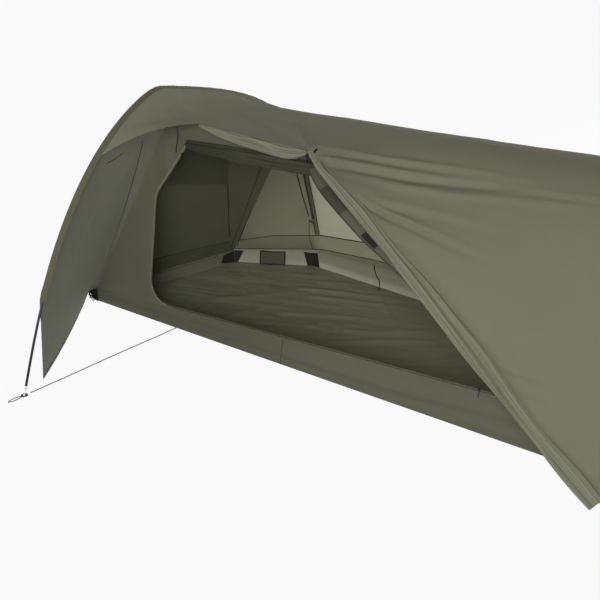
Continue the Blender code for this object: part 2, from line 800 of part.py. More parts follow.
def fly_door(main, foot, finish):
    """The open door: a roll under the header, and the gathered strip down to the foot arch."""
    header, toggle = header_points()
    count = 13
    sizes, line = [], []
    for t in np.linspace(0, 1, count):
        size = FLY_ROLL_RADIUS * lerp(FLY_ROLL_TAPER, 1, sin(pi * (0.08 + 0.62 * t)))
        sizes.append(size)
        line.append(lerp(header, toggle, FLY_ROLL_SHARE * t) - vec(0, 0, GAP))
    faces = [vec(0, -1, 0)] * count
    depths = [s * 0.8 for s in sizes]
    folded_tube("fly_door_roll", line, faces, sizes, depths, 5, FLY_ROLL_FOLD, vec(0, 0, 1), finish)

    roof, _ = roof_grid(main, foot)
    columns, _, share = roof_columns(main, foot)
    first = min(i for i, u in enumerate(columns) if u >= share - 1e-9)
    edge, beside = roof[first:, 0], roof[first:, 2]
    heading = unit(edge[-1] - edge[0])
    normals = np.array([unit(np.cross(b - a, heading)) for a, b in zip(edge, beside)])
    normals *= -np.sign(normals[:, 1:2])
    count = 17
    run = np.linspace(STRIP_FROM_SHARE, STRIP_TO_SHARE, count)
    places = np.linspace(0, 1, len(edge))
    faces = [unit(vec(*(np.interp(t, places, normals[:, axis]) for axis in range(3)))) for t in run]
    widths = [STRIP_HALF_WIDTH * strip_share(t) for t in run]
    depths = [STRIP_HALF_DEPTH * (0.5 + 0.5 * w / STRIP_HALF_WIDTH) for w in widths]
    near_rows = roof[first:, :5].reshape(-1, 3)
    strip = []
    for t, face in zip(run, faces):
        here = lerp(edge[0], edge[-1], t)
        close = near_rows[np.abs((near_rows - here) @ heading) < 0.08]
        bulge = max(0.0, *((close - here) @ face))
        strip.append(here + face * (bulge + CLOTH + STRIP_CLEARANCE))
    folded_tube("fly_door_strip", strip, faces, widths, depths, 4, STRIP_FOLD, None, finish)


def strip_share(t):
    """How full the gathered strip is along its length: widest below the toggle."""
    return lerp(STRIP_TAPER, 1, sin(pi * min(1.0, 0.16 + 0.80 * t)) ** 0.8)


# Inner tent


def near_wall_point(x, z, out=0.0):
    """A point on the near wall, which stands upright over the floor's near edge."""
    return vec(x, NEAR_Y - out, z)


def head_top(main):
    """The near wall's highest point, under the main arch."""
    arch = min(main.points[peak_index(main) :], key=lambda p: abs(p[1] - NEAR_Y))
    return vec(arch[0], NEAR_Y, arch[2] - INNER_HEAD_DROP)


def foot_top():
    return vec(FOOT_X - FOOT_WALL_INSET, NEAR_Y, NEAR_WALL_FOOT_HEIGHT)


def near_wall_top(main, count=17):
    """The near wall's top edge, from under the main arch down to the header and along it."""
    start, end = head_top(main), foot_top()
    line = []
    for t in np.linspace(0, 1, count):
        drop = (start[2] - NEAR_WALL_HEIGHT) * max(0.0, 1 - t / 0.14) ** 1.5
        fall = (NEAR_WALL_HEIGHT - end[2]) * max(0.0, (t - 0.35) / 0.65) + NEAR_WALL_DIP * sin(pi * t) ** 4
        line.append(vec(lerp(start[0], end[0], t), NEAR_Y, NEAR_WALL_HEIGHT - fall + drop))
    line[0] = start
    return line


def door_outline():
    corners = (
        (-DOOR_HEAD_X, tub_height(-DOOR_HEAD_X) + DOOR_SILL_RISE),
        (DOOR_FOOT_X, tub_height(DOOR_FOOT_X) + DOOR_SILL_RISE),
        (DOOR_FOOT_X, DOOR_SHOULDER_Z - DOOR_FOOT_SHOULDER_DROP),
        (DOOR_TOP_FOOT_X, DOOR_TOP_Z),
        (-DOOR_TOP_HEAD_X, DOOR_TOP_Z),
        (-DOOR_SHOULDER_X, DOOR_SHOULDER_Z),
    )
    radii = (
        DOOR_CORNER_RADIUS,
        DOOR_CORNER_RADIUS,
        DOOR_FOOT_SHOULDER_RADIUS,
        DOOR_TOP_RADIUS,
        DOOR_TOP_RADIUS,
        DOOR_HEAD_SHOULDER_RADIUS,
    )
    return rounded(corners, radii), corners


def near_wall(main, finish):
    """The upright near wall, with the door's opening cut through it."""
    top = [(p[0], p[2]) for p in near_wall_top(main)]
    inset = CLOTH + SEAM_GAP
    bottom_z = SEAM_GAP
    outline = [
        (HEAD_X + inset, tub_height(HEAD_X) + bottom_z),
        (FOOT_X - inset, tub_height(FOOT_X) + bottom_z),
    ]
    outline += [(x - (inset if i == 0 else 0), z - 0.001) for i, (x, z) in enumerate(reversed(top))]
    wall = plate("inner_near_wall", outline, near_wall_point, 0, CLOTH, finish)
    opening, _ = door_outline()
    cutter = plate("door_cutter", moved_out(opening, ZIP_WIDTH * 0.35), near_wall_point, -0.02, 0.02, finish)
    cutter.hide_render = True
    cutter.display_type = "WIRE"
    cut = wall.modifiers.new("door opening", "BOOLEAN")
    cut.object = cutter
    cut.operation = "DIFFERENCE"


def zip_track(finish):
    """The zip's tape round the opening, on the outer face of the near wall."""
    opening, _ = door_outline()
    outer = moved_out(opening, ZIP_WIDTH)
    low = CLOTH + ZIP_GAP
    holed_plate("inner_door_zip", outer, opening, near_wall_point, low, low + ZIP_THICKNESS, finish)


def tub(finish):
    """The groundsheet: a flat floor with upright sides that rise towards the foot end."""
    def ring_at(offset, height):
        plan = [vec(*p) for p in FLOOR_PLAN]
        drawn = moved_out(plan, -offset)
        return np.array([vec(p[0], p[1], height(q[0])) for p, q in zip(drawn, plan)])

    rings = [
        ring_at(0.0, lambda x: 0.0),
        ring_at(0.0, lambda x: tub_height(x)),
        ring_at(CLOTH, lambda x: tub_height(x)),
        ring_at(CLOTH, lambda x: CLOTH),
    ]
    loft("groundsheet_tub", rings, finish, smooth_angle=0.5)


def arch_inside(arch, drop):
    """Points under an arch, from its far foot up and over to its crest."""
    return [arch.points[i] - arch.ups[i] * drop for i in range(arch.last - 1, peak_index(arch), -1)]


def seam_top(main):
    """Where the far head corner's seam meets the arch."""
    far = [p for p in main.points[peak_index(main) :] if p[2] > 0.68]
    index = peak_index(main) + len(far) - 1
    return main.points[index] - main.ups[index] * INNER_HEAD_DROP, index


def tub_edge(index):
    """A corner of the inner tent's walls, on top of the tub's rim."""
    x, y = FLOOR_PLAN[index]
    return vec(x, y, tub_height(x) + SEAM_GAP)


def inner_panels(main, foot, finish):
    """Head wall, far wall with the roof over it, and foot wall."""
    rows = 9
    near_head, far_head, at_arch = tub_edge(0), tub_edge(4), tub_edge(3)
    far_foot, near_foot = tub_edge(2), tub_edge(1)
    top = head_top(main)
    seam_end, seam_index = seam_top(main)
    top_gap = vec(0, INNER_TOP_GAP, 0)
    top_near = top + top_gap
    arch_run = [
        main.points[i] - main.ups[i] * INNER_HEAD_DROP for i in range(peak_index(main), seam_index + 1)
    ]
    arch_run = [p for p in arch_run if p[1] > NEAR_Y + INNER_ARCH_GAP]
    arch_run = np.array([top_near] + arch_run)

    # Head wall: floor edge to the line under the arch
    columns = 9
    left = np.array([lerp(near_head + top_gap, top_near, t) for t in np.linspace(0, 1, rows)])
    right = np.array([lerp(far_head, seam_end, t) for t in np.linspace(0, 1, rows)])
    bottom = np.array([lerp(left[0], right[0], t) for t in np.linspace(0, 1, columns)])
    over = evenly(arch_run, columns)
    over[0], over[-1] = left[-1], right[-1]
    sheet("inner_head_wall", coons(bottom, over, left, right)[::-1], finish)

    # Far wall and ceiling: from the tub's far edge up and over to the near wall's top
    beside = main.side * (CLOTH + SEAM_GAP)
    lower = 9
    fold = lower - 1
    seam_low = evenly(np.array([far_head, seam_end]), lower)
    seam = [point + beside for point in list(seam_low) + list(over[::-1])[1:]]
    low_from = at_arch[2] + INNER_ARCH_GAP
    low_run = [p for p in arch_inside(main, INNER_HEAD_DROP) if low_from < p[2] < seam_end[2]]
    arch_low = evenly(np.array([at_arch] + low_run + [seam_end]), lower)
    step = main.side * INNER_ARCH_GAP
    arch_points = list(arch_low) + list(over[::-1])[1:]
    arch_line = [point + step * min(1, i / 3) for i, point in enumerate(arch_points)]
    near_top = near_wall_top(main, 65)
    steps = len(arch_line)
    foot_in = [p for p in arch_inside(foot, INNER_RIDGE_DROP) if p[2] > far_foot[2] + INNER_ARCH_GAP]
    foot_in = [p for p in foot_in if p[1] > NEAR_Y + INNER_FOOT_SHOULDER]
    foot_line = [far_foot]
    for p in foot_in:
        back_by = FOOT_WALL_INSET * (p[2] - far_foot[2]) / (CREST_HEIGHT - far_foot[2])
        foot_line.append(vec(FOOT_X - back_by, p[1], p[2]))
    foot_line.append(near_top[-1] + top_gap)
    foot_line = evenly(np.array(foot_line), steps)
    wall = [seam, [lerp(a, b, 0.5) for a, b in zip(seam, arch_line)], arch_line]
    for u in np.linspace(0, 1, 9)[1:]:
        low = lerp(at_arch, far_foot, u)
        x = lerp(arch_line[-1][0], near_top[-1][0], u)
        high = min(near_top, key=lambda p: abs(p[0] - x)) + top_gap
        line = []
        for i in range(steps):
            t = i / (steps - 1)
            point = lerp(arch_line[i], foot_line[i], u)
            low_end = low - lerp(arch_line[0], foot_line[0], u)
            high_end = high - lerp(arch_line[-1], foot_line[-1], u)
            sag = vec(0, 0, INNER_RIDGE_SAG * 4 * u * (1 - u) * sin(pi * t))
            line.append(point + lerp(low_end, high_end, t) - sag)
        wall.append(line)
    wall = np.array(wall)
    sheet("inner_far_wall", wall[::-1], finish)

    # Foot wall: from the tub's foot edge up to the end of the far wall
    beyond = vec(CLOTH + SEAM_GAP, 0, 0)
    right_edge = [point + beyond * (i / (steps - 1)) for i, point in enumerate(wall[-1])]
    low_end, high_end = near_foot + top_gap, foot_top() + top_gap + beyond
    left_edge = [lerp(low_end, high_end, t) for t in np.linspace(0, 0.97, steps)]
    right_edge[-1] = lerp(right_edge[-2], right_edge[-1], 0.7)
    grid = [[lerp(a, b, u) for a, b in zip(left_edge, right_edge)] for u in np.linspace(0, 1, 6)]
    sheet("inner_foot_wall", grid, finish)


def inner_roll(finish):
    """The inner door, rolled up under its header."""
    count = 13
    face = CLOTH + ZIP_GAP + ZIP_THICKNESS + GAP
    sizes, line = [], []
    for t in np.linspace(0, 1, count):
        size = INNER_ROLL_RADIUS * lerp(INNER_ROLL_TAPER, 1, sin(pi * (0.08 + 0.84 * t)))
        sizes.append(size)
        x = lerp(INNER_ROLL_INSET - DOOR_TOP_HEAD_X, DOOR_TOP_FOOT_X - INNER_ROLL_INSET, t)
        line.append(near_wall_point(x, DOOR_TOP_Z + ZIP_WIDTH / 2, face))
    depths = [s * 0.85 for s in sizes]
    faces = [vec(0, -1, 0)] * count
    folded_tube("inner_door_roll", line, faces, sizes, depths, 5, INNER_ROLL_FOLD, vec(0, 1, 0), finish)


# Feet, straps and buckles


def flat(origin, along):
    """Maps a plan drawn along and across a direction, and a height, to the world."""
    across = np.cross(vec(0, 0, 1), along)

    def to_world(a, b, height):
        return origin + along * a + across * b + vec(0, 0, height)

    return to_world


def eyelet(name, foot, towards, reach, finish):
    """A webbing tab with a hole for the pole's tip, its tail pointing at the tent."""
    along = unit(vec(towards[0] - foot[0], towards[1] - foot[1], 0))
    count = 20
    hole, outline = [], []
    half = EYELET_RADIUS * 0.66
    for k in range(count):
        angle = 2 * pi * (k + 0.5) / count
        hole.append((EYELET_HOLE * cos(angle), EYELET_HOLE * sin(angle)))
        a, b = EYELET_RADIUS * cos(angle), EYELET_RADIUS * sin(angle)
        if a > 0 and abs(b) < half:
            a = reach
        elif a > 0:
            a = min(a, EYELET_RADIUS * 0.75)
        outline.append((a, b))
    base = vec(foot[0], foot[1], 0)
    holed_plate(name, outline, hole, flat(base, along), 0.0, EYELET_THICKNESS, finish)


def ground_strap(name, foot, target, reach, finish):
    """A flat strap on the ground, from the eyelet's tab to the groundsheet's edge."""
    start, end = vec(foot[0], foot[1], 0), vec(target[0], target[1], 0)
    along = unit(end - start)
    half = GROUND_STRAP_WIDTH / 2
    length = np.linalg.norm(end - start) - GAP - half * abs(along[0] / along[1])
    outline = ((reach + GAP, -half), (length, -half), (length, half), (reach + GAP, half))
    plate(name, outline, flat(start, along), 0.0, GROUND_STRAP_THICKNESS, finish)


def peg_loop(name, foot, towards, finish):
    """The loop outside the near foot, which takes a peg."""
    out = -unit(vec(towards[0] - foot[0], towards[1] - foot[1], 0))
    base = vec(foot[0], foot[1], 0) + out * (EYELET_RADIUS + GAP)
    count = 20
    half = PEG_LOOP_LENGTH / 2
    outline, hole = [], []
    for k in range(count):
        angle = 2 * pi * k / count
        outline.append((half + half * cos(angle), PEG_LOOP_WIDTH / 2 * sin(angle)))
        across = (PEG_LOOP_WIDTH / 2 - PEG_LOOP_SIDE) * sin(angle)
        hole.append((half + (half - PEG_LOOP_END) * cos(angle), across))
    holed_plate(name, outline, hole, flat(base, out), 0.0, GROUND_STRAP_THICKNESS, finish)


def corner_fitting(label, index, webbing, plastic):
    """A strap from the floor's corner that wraps a buckle's middle bar, and the buckle on it."""
    if index in (1, 2):
        along = vec(1, 0, 0)
        side = CORNER_INSET if index == 1 else -CORNER_INSET
        start = vec(FOOT_X + GAP, FLOOR_PLAN[index][1] + side, 0)
    else:
        along = unit(corner(index, 1.0, 0) - corner(index, 0.0, 0))
        start = corner(index, GAP, 0.0)
    across = np.cross(vec(0, 0, 1), along)
    wrap = BUCKLE_BAR_RADIUS + GAP + CORNER_STRAP_THICKNESS / 2
    reach = CORNER_REACH * 0.55
    bar = start + along * reach
    route = [(0.0, CORNER_STRAP_THICKNESS * 0.75), (reach * 0.45, CORNER_RISE * 0.30)]
    for degrees in range(-60, 181, 40):
        angle = degrees * pi / 180
        route.append((reach + wrap * cos(angle), CORNER_RISE + wrap * sin(angle)))
    route.append((reach - wrap - CORNER_STRAP_SET_OFF, CORNER_RISE - CORNER_STRAP_TAIL))
    route = [np.array(p) for p in route]
    rings = []
    half = CORNER_STRAP_WIDTH / 2
    for i, here in enumerate(route):
        heading = unit(route[min(i + 1, len(route) - 1)] - route[max(i - 1, 0)])
        normal = vec(-heading[1], heading[0]) * CORNER_STRAP_THICKNESS / 2
        corners = ((normal, half), (normal, -half), (-normal, -half), (-normal, half))
        loop = []
        for offset, width in corners:
            a, z = here + offset
            loop.append(start + along * a + across * width + vec(0, 0, z))
        rings.append(np.array(loop))
    loft(f"corner_strap_{label}", rings, webbing, smooth_angle=0.5)
    buckle(f"hem_buckle_{label}", bar + vec(0, 0, CORNER_RISE), along, across, plastic)


def buckle(name, pivot, along, across, finish):
    """A ladder-lock frame: three bars between two cheeks, joined by Boolean unions."""
    half = BUCKLE_WIDTH / 2
    radius = BUCKLE_BAR_RADIUS
    up = np.cross(along, across)
    parts = []
    for place in (-BUCKLE_PITCH, 0, BUCKLE_PITCH):
        centre = pivot + along * place
        end = half - BUCKLE_BAR_INSET
        rings = [ring(centre + across * s, along, up, radius, radius) for s in (-end, end)]
        parts.append(loft(f"{name}_bar", rings, finish))
    cheek = BUCKLE_PITCH + radius * 1.5
    for sign in (-1, 1):
        edge = pivot + across * sign * (half - radius * 0.55)
        rings = []
        for s in (-cheek, cheek):
            rings.append(ring(edge + along * s, across, up, radius * 0.9, radius * 1.25))
        parts.append(loft(f"{name}_cheek", rings, finish))
    body = parts[-1]
    body.name = name
    for piece in parts[:-1]:
        piece.hide_render = True
        piece.display_type = "WIRE"
        union = body.modifiers.new("join", "BOOLEAN")
        union.operation = "UNION"
        union.object = piece
    return centred(body, pivot)


# Door fittings


def slider(name, where, heading, finish):
    """A zip slider that clips round the tape's free edge: two plates joined by a nose."""
    out = vec(0, -1, 0)
    inward = np.cross(out, heading)
    low = CLOTH + ZIP_GAP - GAP - SLIDER_WALL
    high = CLOTH + ZIP_GAP + ZIP_THICKNESS + GAP + SLIDER_WALL
    inner_low, inner_high = low + SLIDER_WALL, high - SLIDER_WALL
    nose = -GAP - SLIDER_WALL
    section = (
        (nose, low),
        (SLIDER_LIP, low),
        (SLIDER_LIP, inner_low),
        (-GAP, inner_low),
        (-GAP, inner_high),
        (SLIDER_FRONT_LIP, inner_high),
        (SLIDER_FRONT_LIP, high),
        (nose, high),
    )
    rings = []
    for run in (-SLIDER_LENGTH / 2, SLIDER_LENGTH / 2):
        rings.append(np.array([where + heading * run - inward * a + out * b for a, b in section]))
    return centred(loft(name, rings, finish, smooth_angle=0.3), where)


def pull_tab(name, pivot, down, across, finish):
    """A pull that hangs from the slider's face."""
    half = PULL_WIDTH / 2
    outline = ((-half, 0.001), (half, 0.001), (half * 0.8, PULL_LENGTH), (-half * 0.8, PULL_LENGTH))

    def to_world(a, b, height):
        return pivot + across * a + down * b + vec(0, -1, 0) * height

    return centred(plate(name, outline, to_world, 0, PULL_THICKNESS, finish), pivot)


def zip_fittings(metal, webbing):
    """One slider at the top of the door's head side, one at the foot end of its sill."""
    _, corners = door_outline()
    shoulder, top = vec(*corners[5]), vec(*corners[4])
    face = CLOTH + ZIP_GAP + ZIP_THICKNESS + GAP + SLIDER_WALL
    upper = lerp(top, shoulder, UPPER_SLIDER_SHARE)
    heading = unit(shoulder - top)
    where = near_wall_point(upper[0], upper[1])
    slider("zip_slider_upper", where, vec(heading[0], 0, heading[1]), metal)
    tab = where + vec(-PULL_SET_OFF, -(face + GAP), PULL_SET_OFF)
    pull_tab("zip_pull_upper", tab, vec(0, 0, -1), vec(1, 0, 0), webbing)
    low_head, low_foot = vec(*corners[0]), vec(*corners[1])
    lower = lerp(low_head, low_foot, LOWER_SLIDER_SHARE)
    heading = unit(low_foot - low_head)
    where = near_wall_point(lower[0], lower[1])
    slider("zip_slider_lower", where, vec(heading[0], 0, heading[1]), metal)
    tab = where + vec(0, -(face + GAP), -PULL_SET_OFF)
    pull_tab("zip_pull_lower", tab, vec(0, 0, -1), vec(1, 0, 0), webbing)


def toggles(finish):
    """Barrel toggles on short cords, hung from the header's end, that hold the rolled door."""
    header, toggle = header_points()
    along = unit(toggle - header)
    for number, (back, cord) in enumerate(zip(TOGGLE_SETBACKS, TOGGLE_CORDS), 1):
        pivot = toggle - along * back + vec(0, PULL_SET_OFF, -GAP)
        neck, full = TOGGLE_CORD_RADIUS, TOGGLE_RADIUS
        end = cord + TOGGLE_LENGTH
        middle = cord + TOGGLE_LENGTH / 2
        profile = (
            (TOGGLE_CORD_TOP, neck),
            (cord, neck),
            (cord, full * 0.6),
            (cord + TOGGLE_CHAMFER, full),
            (middle - TOGGLE_WAIST, full),
            (middle, full * 0.7),
            (middle + TOGGLE_WAIST, full),
            (end - TOGGLE_CHAMFER, full),
            (end, full * 0.6),
        )
        rings = [ring(pivot - vec(0, 0, run), vec(1, 0, 0), vec(0, 1, 0), r, r) for run, r in profile]
        centred(loft(f"door_toggle_{number}", rings, finish), pivot)


def far_side_trim(webbing, mesh):
    """Mesh pocket and corner patches on the inside of the tub's far head side."""
    a, b = vec(*FLOOR_PLAN[4]), vec(*FLOOR_PLAN[3])
    along = unit(b - a)
    inward = vec(along[1], -along[0])
    length = np.linalg.norm(b - a)
    base = vec(a[0], a[1], 0)
    along3, inward3 = vec(*along, 0), vec(*inward, 0)

    def to_world(run, height, off):
        return base + along3 * run + inward3 * (CLOTH + GAP + off) + vec(0, 0, height)

    def patch(name, start, width, height, finish):
        low = CLOTH + GAP
        outline = ((start, low), (start + width, low), (start + width, low + height), (start, low + height))
        plate(name, outline, to_world, 0, PATCH_THICKNESS, finish)

    room = length - 2 * PATCH_WIDTH - POCKET_WIDTH
    patch("corner_patch_head", PATCH_INSET, PATCH_WIDTH, PATCH_HEIGHT, webbing)
    patch("mesh_pocket", PATCH_WIDTH + room * 0.45, POCKET_WIDTH, POCKET_HEIGHT, mesh)
    patch("corner_patch_arch", length - PATCH_WIDTH - PATCH_INSET, PATCH_WIDTH, PATCH_HEIGHT, webbing)


def main():
    for obj in list(bpy.data.objects):
        bpy.data.objects.remove(obj)
    finish = make_materials()
    main_pole, foot_pole = main_arch(), foot_arch()
    for prefix, arch in (("main", main_pole), ("foot", foot_pole)):
        pole_sections(prefix, arch, finish["pole"])
        shock_cord(prefix, arch, finish["cord"])
        pole_tip(f"{prefix}_pole_tip_near", arch, 0, finish["tip"])
        pole_tip(f"{prefix}_pole_tip_far", arch, arch.last, finish["tip"])
    sleeve("main_sleeve", main_pole, SLEEVE_START, main_pole.last, finish["sleeve"])
    sleeve("foot_sleeve", foot_pole, 0, foot_pole.last, finish["sleeve"])

    vestibule_panel(main_pole, finish["fly"])
    head_end_panel(main_pole, finish["fly"])
    roof_panels(main_pole, foot_pole, finish["fly"])
    foot_end_panel(foot_pole, finish["fly"])
    fly_door(main_pole, foot_pole, finish["fly"])

    tub(finish["floor"])
    near_wall(main_pole, finish["inner"])
    zip_track(finish["webbing"])
    inner_panels(main_pole, foot_pole, finish["inner"])
    inner_roll(finish["inner"])

    tab = EYELET_RADIUS * 2
    far_tab = FOOT_CLEARANCE - GAP
    main_near, main_far = main_pole.feet
    foot_near, foot_far = foot_pole.feet
    near_target = vec(ARCH_X, NEAR_Y)
    eyelet("eyelet_main_near", main_near, near_target, tab, finish["webbing"])
    eyelet("eyelet_main_far", main_far, vec(ARCH_X, FAR_ARCH_Y), far_tab, finish["webbing"])
    foot_target = vec(FOOT_X - FOOT_STRAP_INSET, NEAR_Y)
    eyelet("eyelet_foot_near", foot_near, foot_target, tab, finish["webbing"])
    beside_foot = vec(FOOT_X, FAR_FOOT_Y + FOOT_CLEARANCE)
    eyelet("eyelet_foot_far", foot_far, beside_foot, tab * 0.8, finish["webbing"])
    ground_strap("ground_strap_main", main_near, near_target, tab, finish["webbing"])
    ground_strap("ground_strap_foot", foot_near, foot_target, tab, finish["webbing"])
    peg_loop("peg_loop_main_near", main_near, near_target, finish["webbing"])
    for label, index in (("near_head", 0), ("near_foot", 1), ("far_foot", 2), ("far_head", 4)):
        corner_fitting(label, index, finish["webbing"], finish["plastic"])

    zip_fittings(finish["tip"], finish["webbing"])
    toggles(finish["plastic"])
    far_side_trim(finish["webbing"], finish["mesh"])


main()
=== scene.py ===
from math import cos, pi, radians, sin, tan

import bpy
import numpy as np
from mathutils import Matrix, Vector


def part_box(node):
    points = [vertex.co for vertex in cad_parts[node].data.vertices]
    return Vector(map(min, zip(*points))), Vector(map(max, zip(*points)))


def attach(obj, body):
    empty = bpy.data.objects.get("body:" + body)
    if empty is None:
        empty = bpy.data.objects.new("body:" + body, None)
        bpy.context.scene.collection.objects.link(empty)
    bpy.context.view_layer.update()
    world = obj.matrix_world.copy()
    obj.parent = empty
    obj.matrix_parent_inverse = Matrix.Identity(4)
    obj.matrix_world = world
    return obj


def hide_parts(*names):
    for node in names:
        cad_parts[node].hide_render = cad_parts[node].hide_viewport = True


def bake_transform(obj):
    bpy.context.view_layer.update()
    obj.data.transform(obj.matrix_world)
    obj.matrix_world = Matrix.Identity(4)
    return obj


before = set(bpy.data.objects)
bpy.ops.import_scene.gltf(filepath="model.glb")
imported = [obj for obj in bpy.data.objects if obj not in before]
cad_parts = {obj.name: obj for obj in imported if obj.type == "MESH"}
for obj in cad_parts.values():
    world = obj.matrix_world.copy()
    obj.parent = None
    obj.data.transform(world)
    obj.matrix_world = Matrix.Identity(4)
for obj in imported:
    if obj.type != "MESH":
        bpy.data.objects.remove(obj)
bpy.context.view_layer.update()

# Sizes that the tent's solids have

FLOOR_LENGTH = 2.28
FLOOR_HEAD_WIDTH = 0.90
FLOOR_HEAD_END_WIDTH = 0.715
FLOOR_FOOT_WIDTH = 0.71
HEAD_CORNER_INSET = 0.13
TUB_HEAD_HEIGHT = 0.060
TUB_FOOT_HEIGHT = 0.165
INNER_HEAD_DROP = 0.040
INNER_RIDGE_DROP = 0.050
INNER_RIDGE_SAG = 0.020
INNER_SEAM_TOP = 0.68
INNER_ARCH_GAP = 0.03
INNER_SET_IN = 0.004
NEAR_WALL_HEIGHT = 0.79
NEAR_WALL_FOOT_HEIGHT = 0.66
NEAR_WALL_DIP = 0.03
FOOT_WALL_INSET = 0.10
DOOR_HEAD_X = 0.815
DOOR_SHOULDER_X = 0.745
DOOR_SHOULDER_Z = 0.53
DOOR_TOP_HEAD_X = 0.565
DOOR_TOP_FOOT_X = 0.16
DOOR_TOP_Z = 0.745
DOOR_FOOT_X = 0.75
DOOR_SILL_RISE = 0.012
DOOR_RADII = (0.075, 0.075, 0.10, 0.02, 0.02, 0.12)
ARCH_FROM_HEAD = 0.46
ARCH_LEAN = 0.072
VESTIBULE_DEPTH = 0.72
FOOT_CLEARANCE = 0.030
PEAK_HEIGHT = 0.953
PEAK_OVERHANG = 0.11
FOOT_ARCH_GAP = 0.05
FOOT_VESTIBULE_DEPTH = 0.25
CREST_HEIGHT = 0.882
CREST_INBOARD = 0.23
CREST_HALF_WIDTH = 0.09
CREST_DROP = 0.012
POLE_END = 0.036
SLEEVE_HALF_WIDTH = 0.0145
CLOTH = 0.0016
SEAM_GAP = 0.0004
HEM_HEIGHT = 0.030
HEM_HEAD_MARGIN = 0.050
HEM_NEAR_MARGIN = 0.006
HEM_FAR_MARGIN = 0.045
HEM_BOW = 0.045
HEAD_SEAM_BOW = 0.040
HEAD_PANEL_BULGE = 0.018
TIP_HEM_HEIGHT = 0.030
TIP_HEM_INSET = 0.070
EYEBROW_RISE = 0.026
HEADER_OVERHANG = 0.08
HEADER_START_X = 0.434
HEADER_HEIGHT = 0.848
TOGGLE_X = 0.048
TOGGLE_HEIGHT = 0.822
RIDGE_DEPTH = 0.25
RIDGE_SAG = 0.030
ARCH_BOW_REACH = 0.16
FOOT_END_RUN = 0.27
EYELET_THICKNESS = 0.003
EYELET_RADIUS = 0.012
EYELET_HOLE = 0.0039
GROUND_STRAP_WIDTH = 0.008
PEG_LOOP_LENGTH = 0.055
PEG_LOOP_WIDTH = 0.016
CORNER_REACH = 0.040
CORNER_INSET = 0.06
CORNER_RISE = 0.020
CORNER_STRAP_WIDTH = 0.012
CORNER_STRAP_THICKNESS = 0.0012
CORNER_STRAP_TAIL = 0.0035
CORNER_STRAP_SET_OFF = 0.0006
BUCKLE_PITCH = 0.009
BUCKLE_BAR_RADIUS = 0.0018
PULL_LENGTH = 0.024
PULL_WIDTH = 0.005
PULL_THICKNESS = 0.0016
ZIP_WIDTH = 0.009
POCKET_WIDTH = 0.115
POCKET_HEIGHT = 0.060
PATCH_WIDTH = 0.060
PATCH_HEIGHT = 0.055
MAIN_SECTION_STEPS = (6, 6, 9, 5, 5, 5)
FOOT_SECTION_STEPS = (5, 5, 5, 5, 5)
EYEBROW_COLUMNS = 10
HEADER_COLUMNS = 12
EDGE_COLUMNS = 20
SLEEVE_START = 4
ROOF_START = 11

HEAD_X = -FLOOR_LENGTH / 2
FOOT_X = FLOOR_LENGTH / 2
NEAR_Y = -FLOOR_HEAD_WIDTH / 2
ARCH_X = HEAD_X + ARCH_FROM_HEAD
FAR_ARCH_Y = NEAR_Y + FLOOR_HEAD_WIDTH
FAR_FOOT_Y = NEAR_Y + FLOOR_FOOT_WIDTH
FLOOR_PLAN = (
    (HEAD_X, NEAR_Y),
    (FOOT_X, NEAR_Y),
    (FOOT_X, FAR_FOOT_Y),
    (ARCH_X, FAR_ARCH_Y),
    (HEAD_X + HEAD_CORNER_INSET, NEAR_Y + FLOOR_HEAD_END_WIDTH),
)
SLEEVE_EDGE = SLEEVE_HALF_WIDTH + SEAM_GAP

# Sizes and shares that only the cloths have

FINE_HEM = 0.013
WIDE_HEM = 0.016
LINING_REACH = 0.046
ROOF_FOLD_DEPTH = 1.7
FAR_FOLD_DEPTH = 2.2
FLY_ROLL_FOLDS = 0.62
INNER_ROLL_FOLDS = 0.42
ROLL_OVAL = 0.85
ROLL_END = 0.955
STRIP_END = 0.955
FLAP_START = 0.006
STRAND = 0.0009
FLAT_BULGE = 0.002
DOOR_MIDDLE = (-0.05, 0.40)
# Where the zip tape is painted in shade, in the camera's pixels: below a height, half shade from the first
# place across and deep shade from the second.
SHADED_TAPE_BELOW = 292
HALF_SHADE_FROM = 184
DEEP_SHADE_FROM = 206
PULL_FACE_Y = -0.4556
PULL_TOPS = {"upper": (-0.5994, 0.7083), "lower": (0.64045, 0.151994)}


def placed(name, data):
    """A new object in the scene."""
    obj = bpy.data.objects.new(name, data)
    bpy.context.scene.collection.objects.link(obj)
    return obj


# Camera, at the photograph's angle

EYE = np.array((1.8025, -2.828, 1.5))
RIGHT = np.array((0.787, 0.617, 0.0))
FORWARD = np.array((-0.617 * 0.9265, 0.787 * 0.9265, -0.3762))
UPWARD = np.array((-0.617 * 0.3762, 0.787 * 0.3762, 0.9265))
FOCAL, PICTURE, SENSOR = 946, 600, 36


def make_camera():
    lens = bpy.data.cameras.new("camera")
    lens.lens, lens.sensor_width, lens.clip_end = FOCAL / PICTURE * SENSOR, SENSOR, 60
    camera = placed("camera", lens)
    matrix = Matrix((RIGHT, UPWARD, -FORWARD)).transposed().to_4x4()
    matrix.translation = EYE
    camera.matrix_world = matrix
    bpy.context.scene.camera = camera


def seen(points):
    """Where points stand in the photograph, in pixels."""
    away = np.asarray(points, float) - EYE
    scale = FOCAL / (away @ FORWARD)
    return PICTURE / 2 + scale * (away @ RIGHT), PICTURE / 2 - scale * (away @ UPWARD)


# Small vector tools


def vec(*values):
    return np.array(values, float)


UP = vec(0, 0, 1)
CORNERS = [vec(*place, 0) for place in FLOOR_PLAN]


def unit(vectors):
    return vectors / np.linalg.norm(vectors, axis=-1, keepdims=True)


def lerp(a, b, t):
    return a + (b - a) * t


def shares(count):
    return np.linspace(0, 1, count)


def between(a, b, count):
    """Even steps from one place, or line of places, to another."""
    return lerp(a, b, shares(count).reshape((-1,) + (1,) * np.ndim(a)))


def distances(line):
    return np.concatenate([[0], np.cumsum(np.linalg.norm(np.diff(line, axis=0), axis=1))])


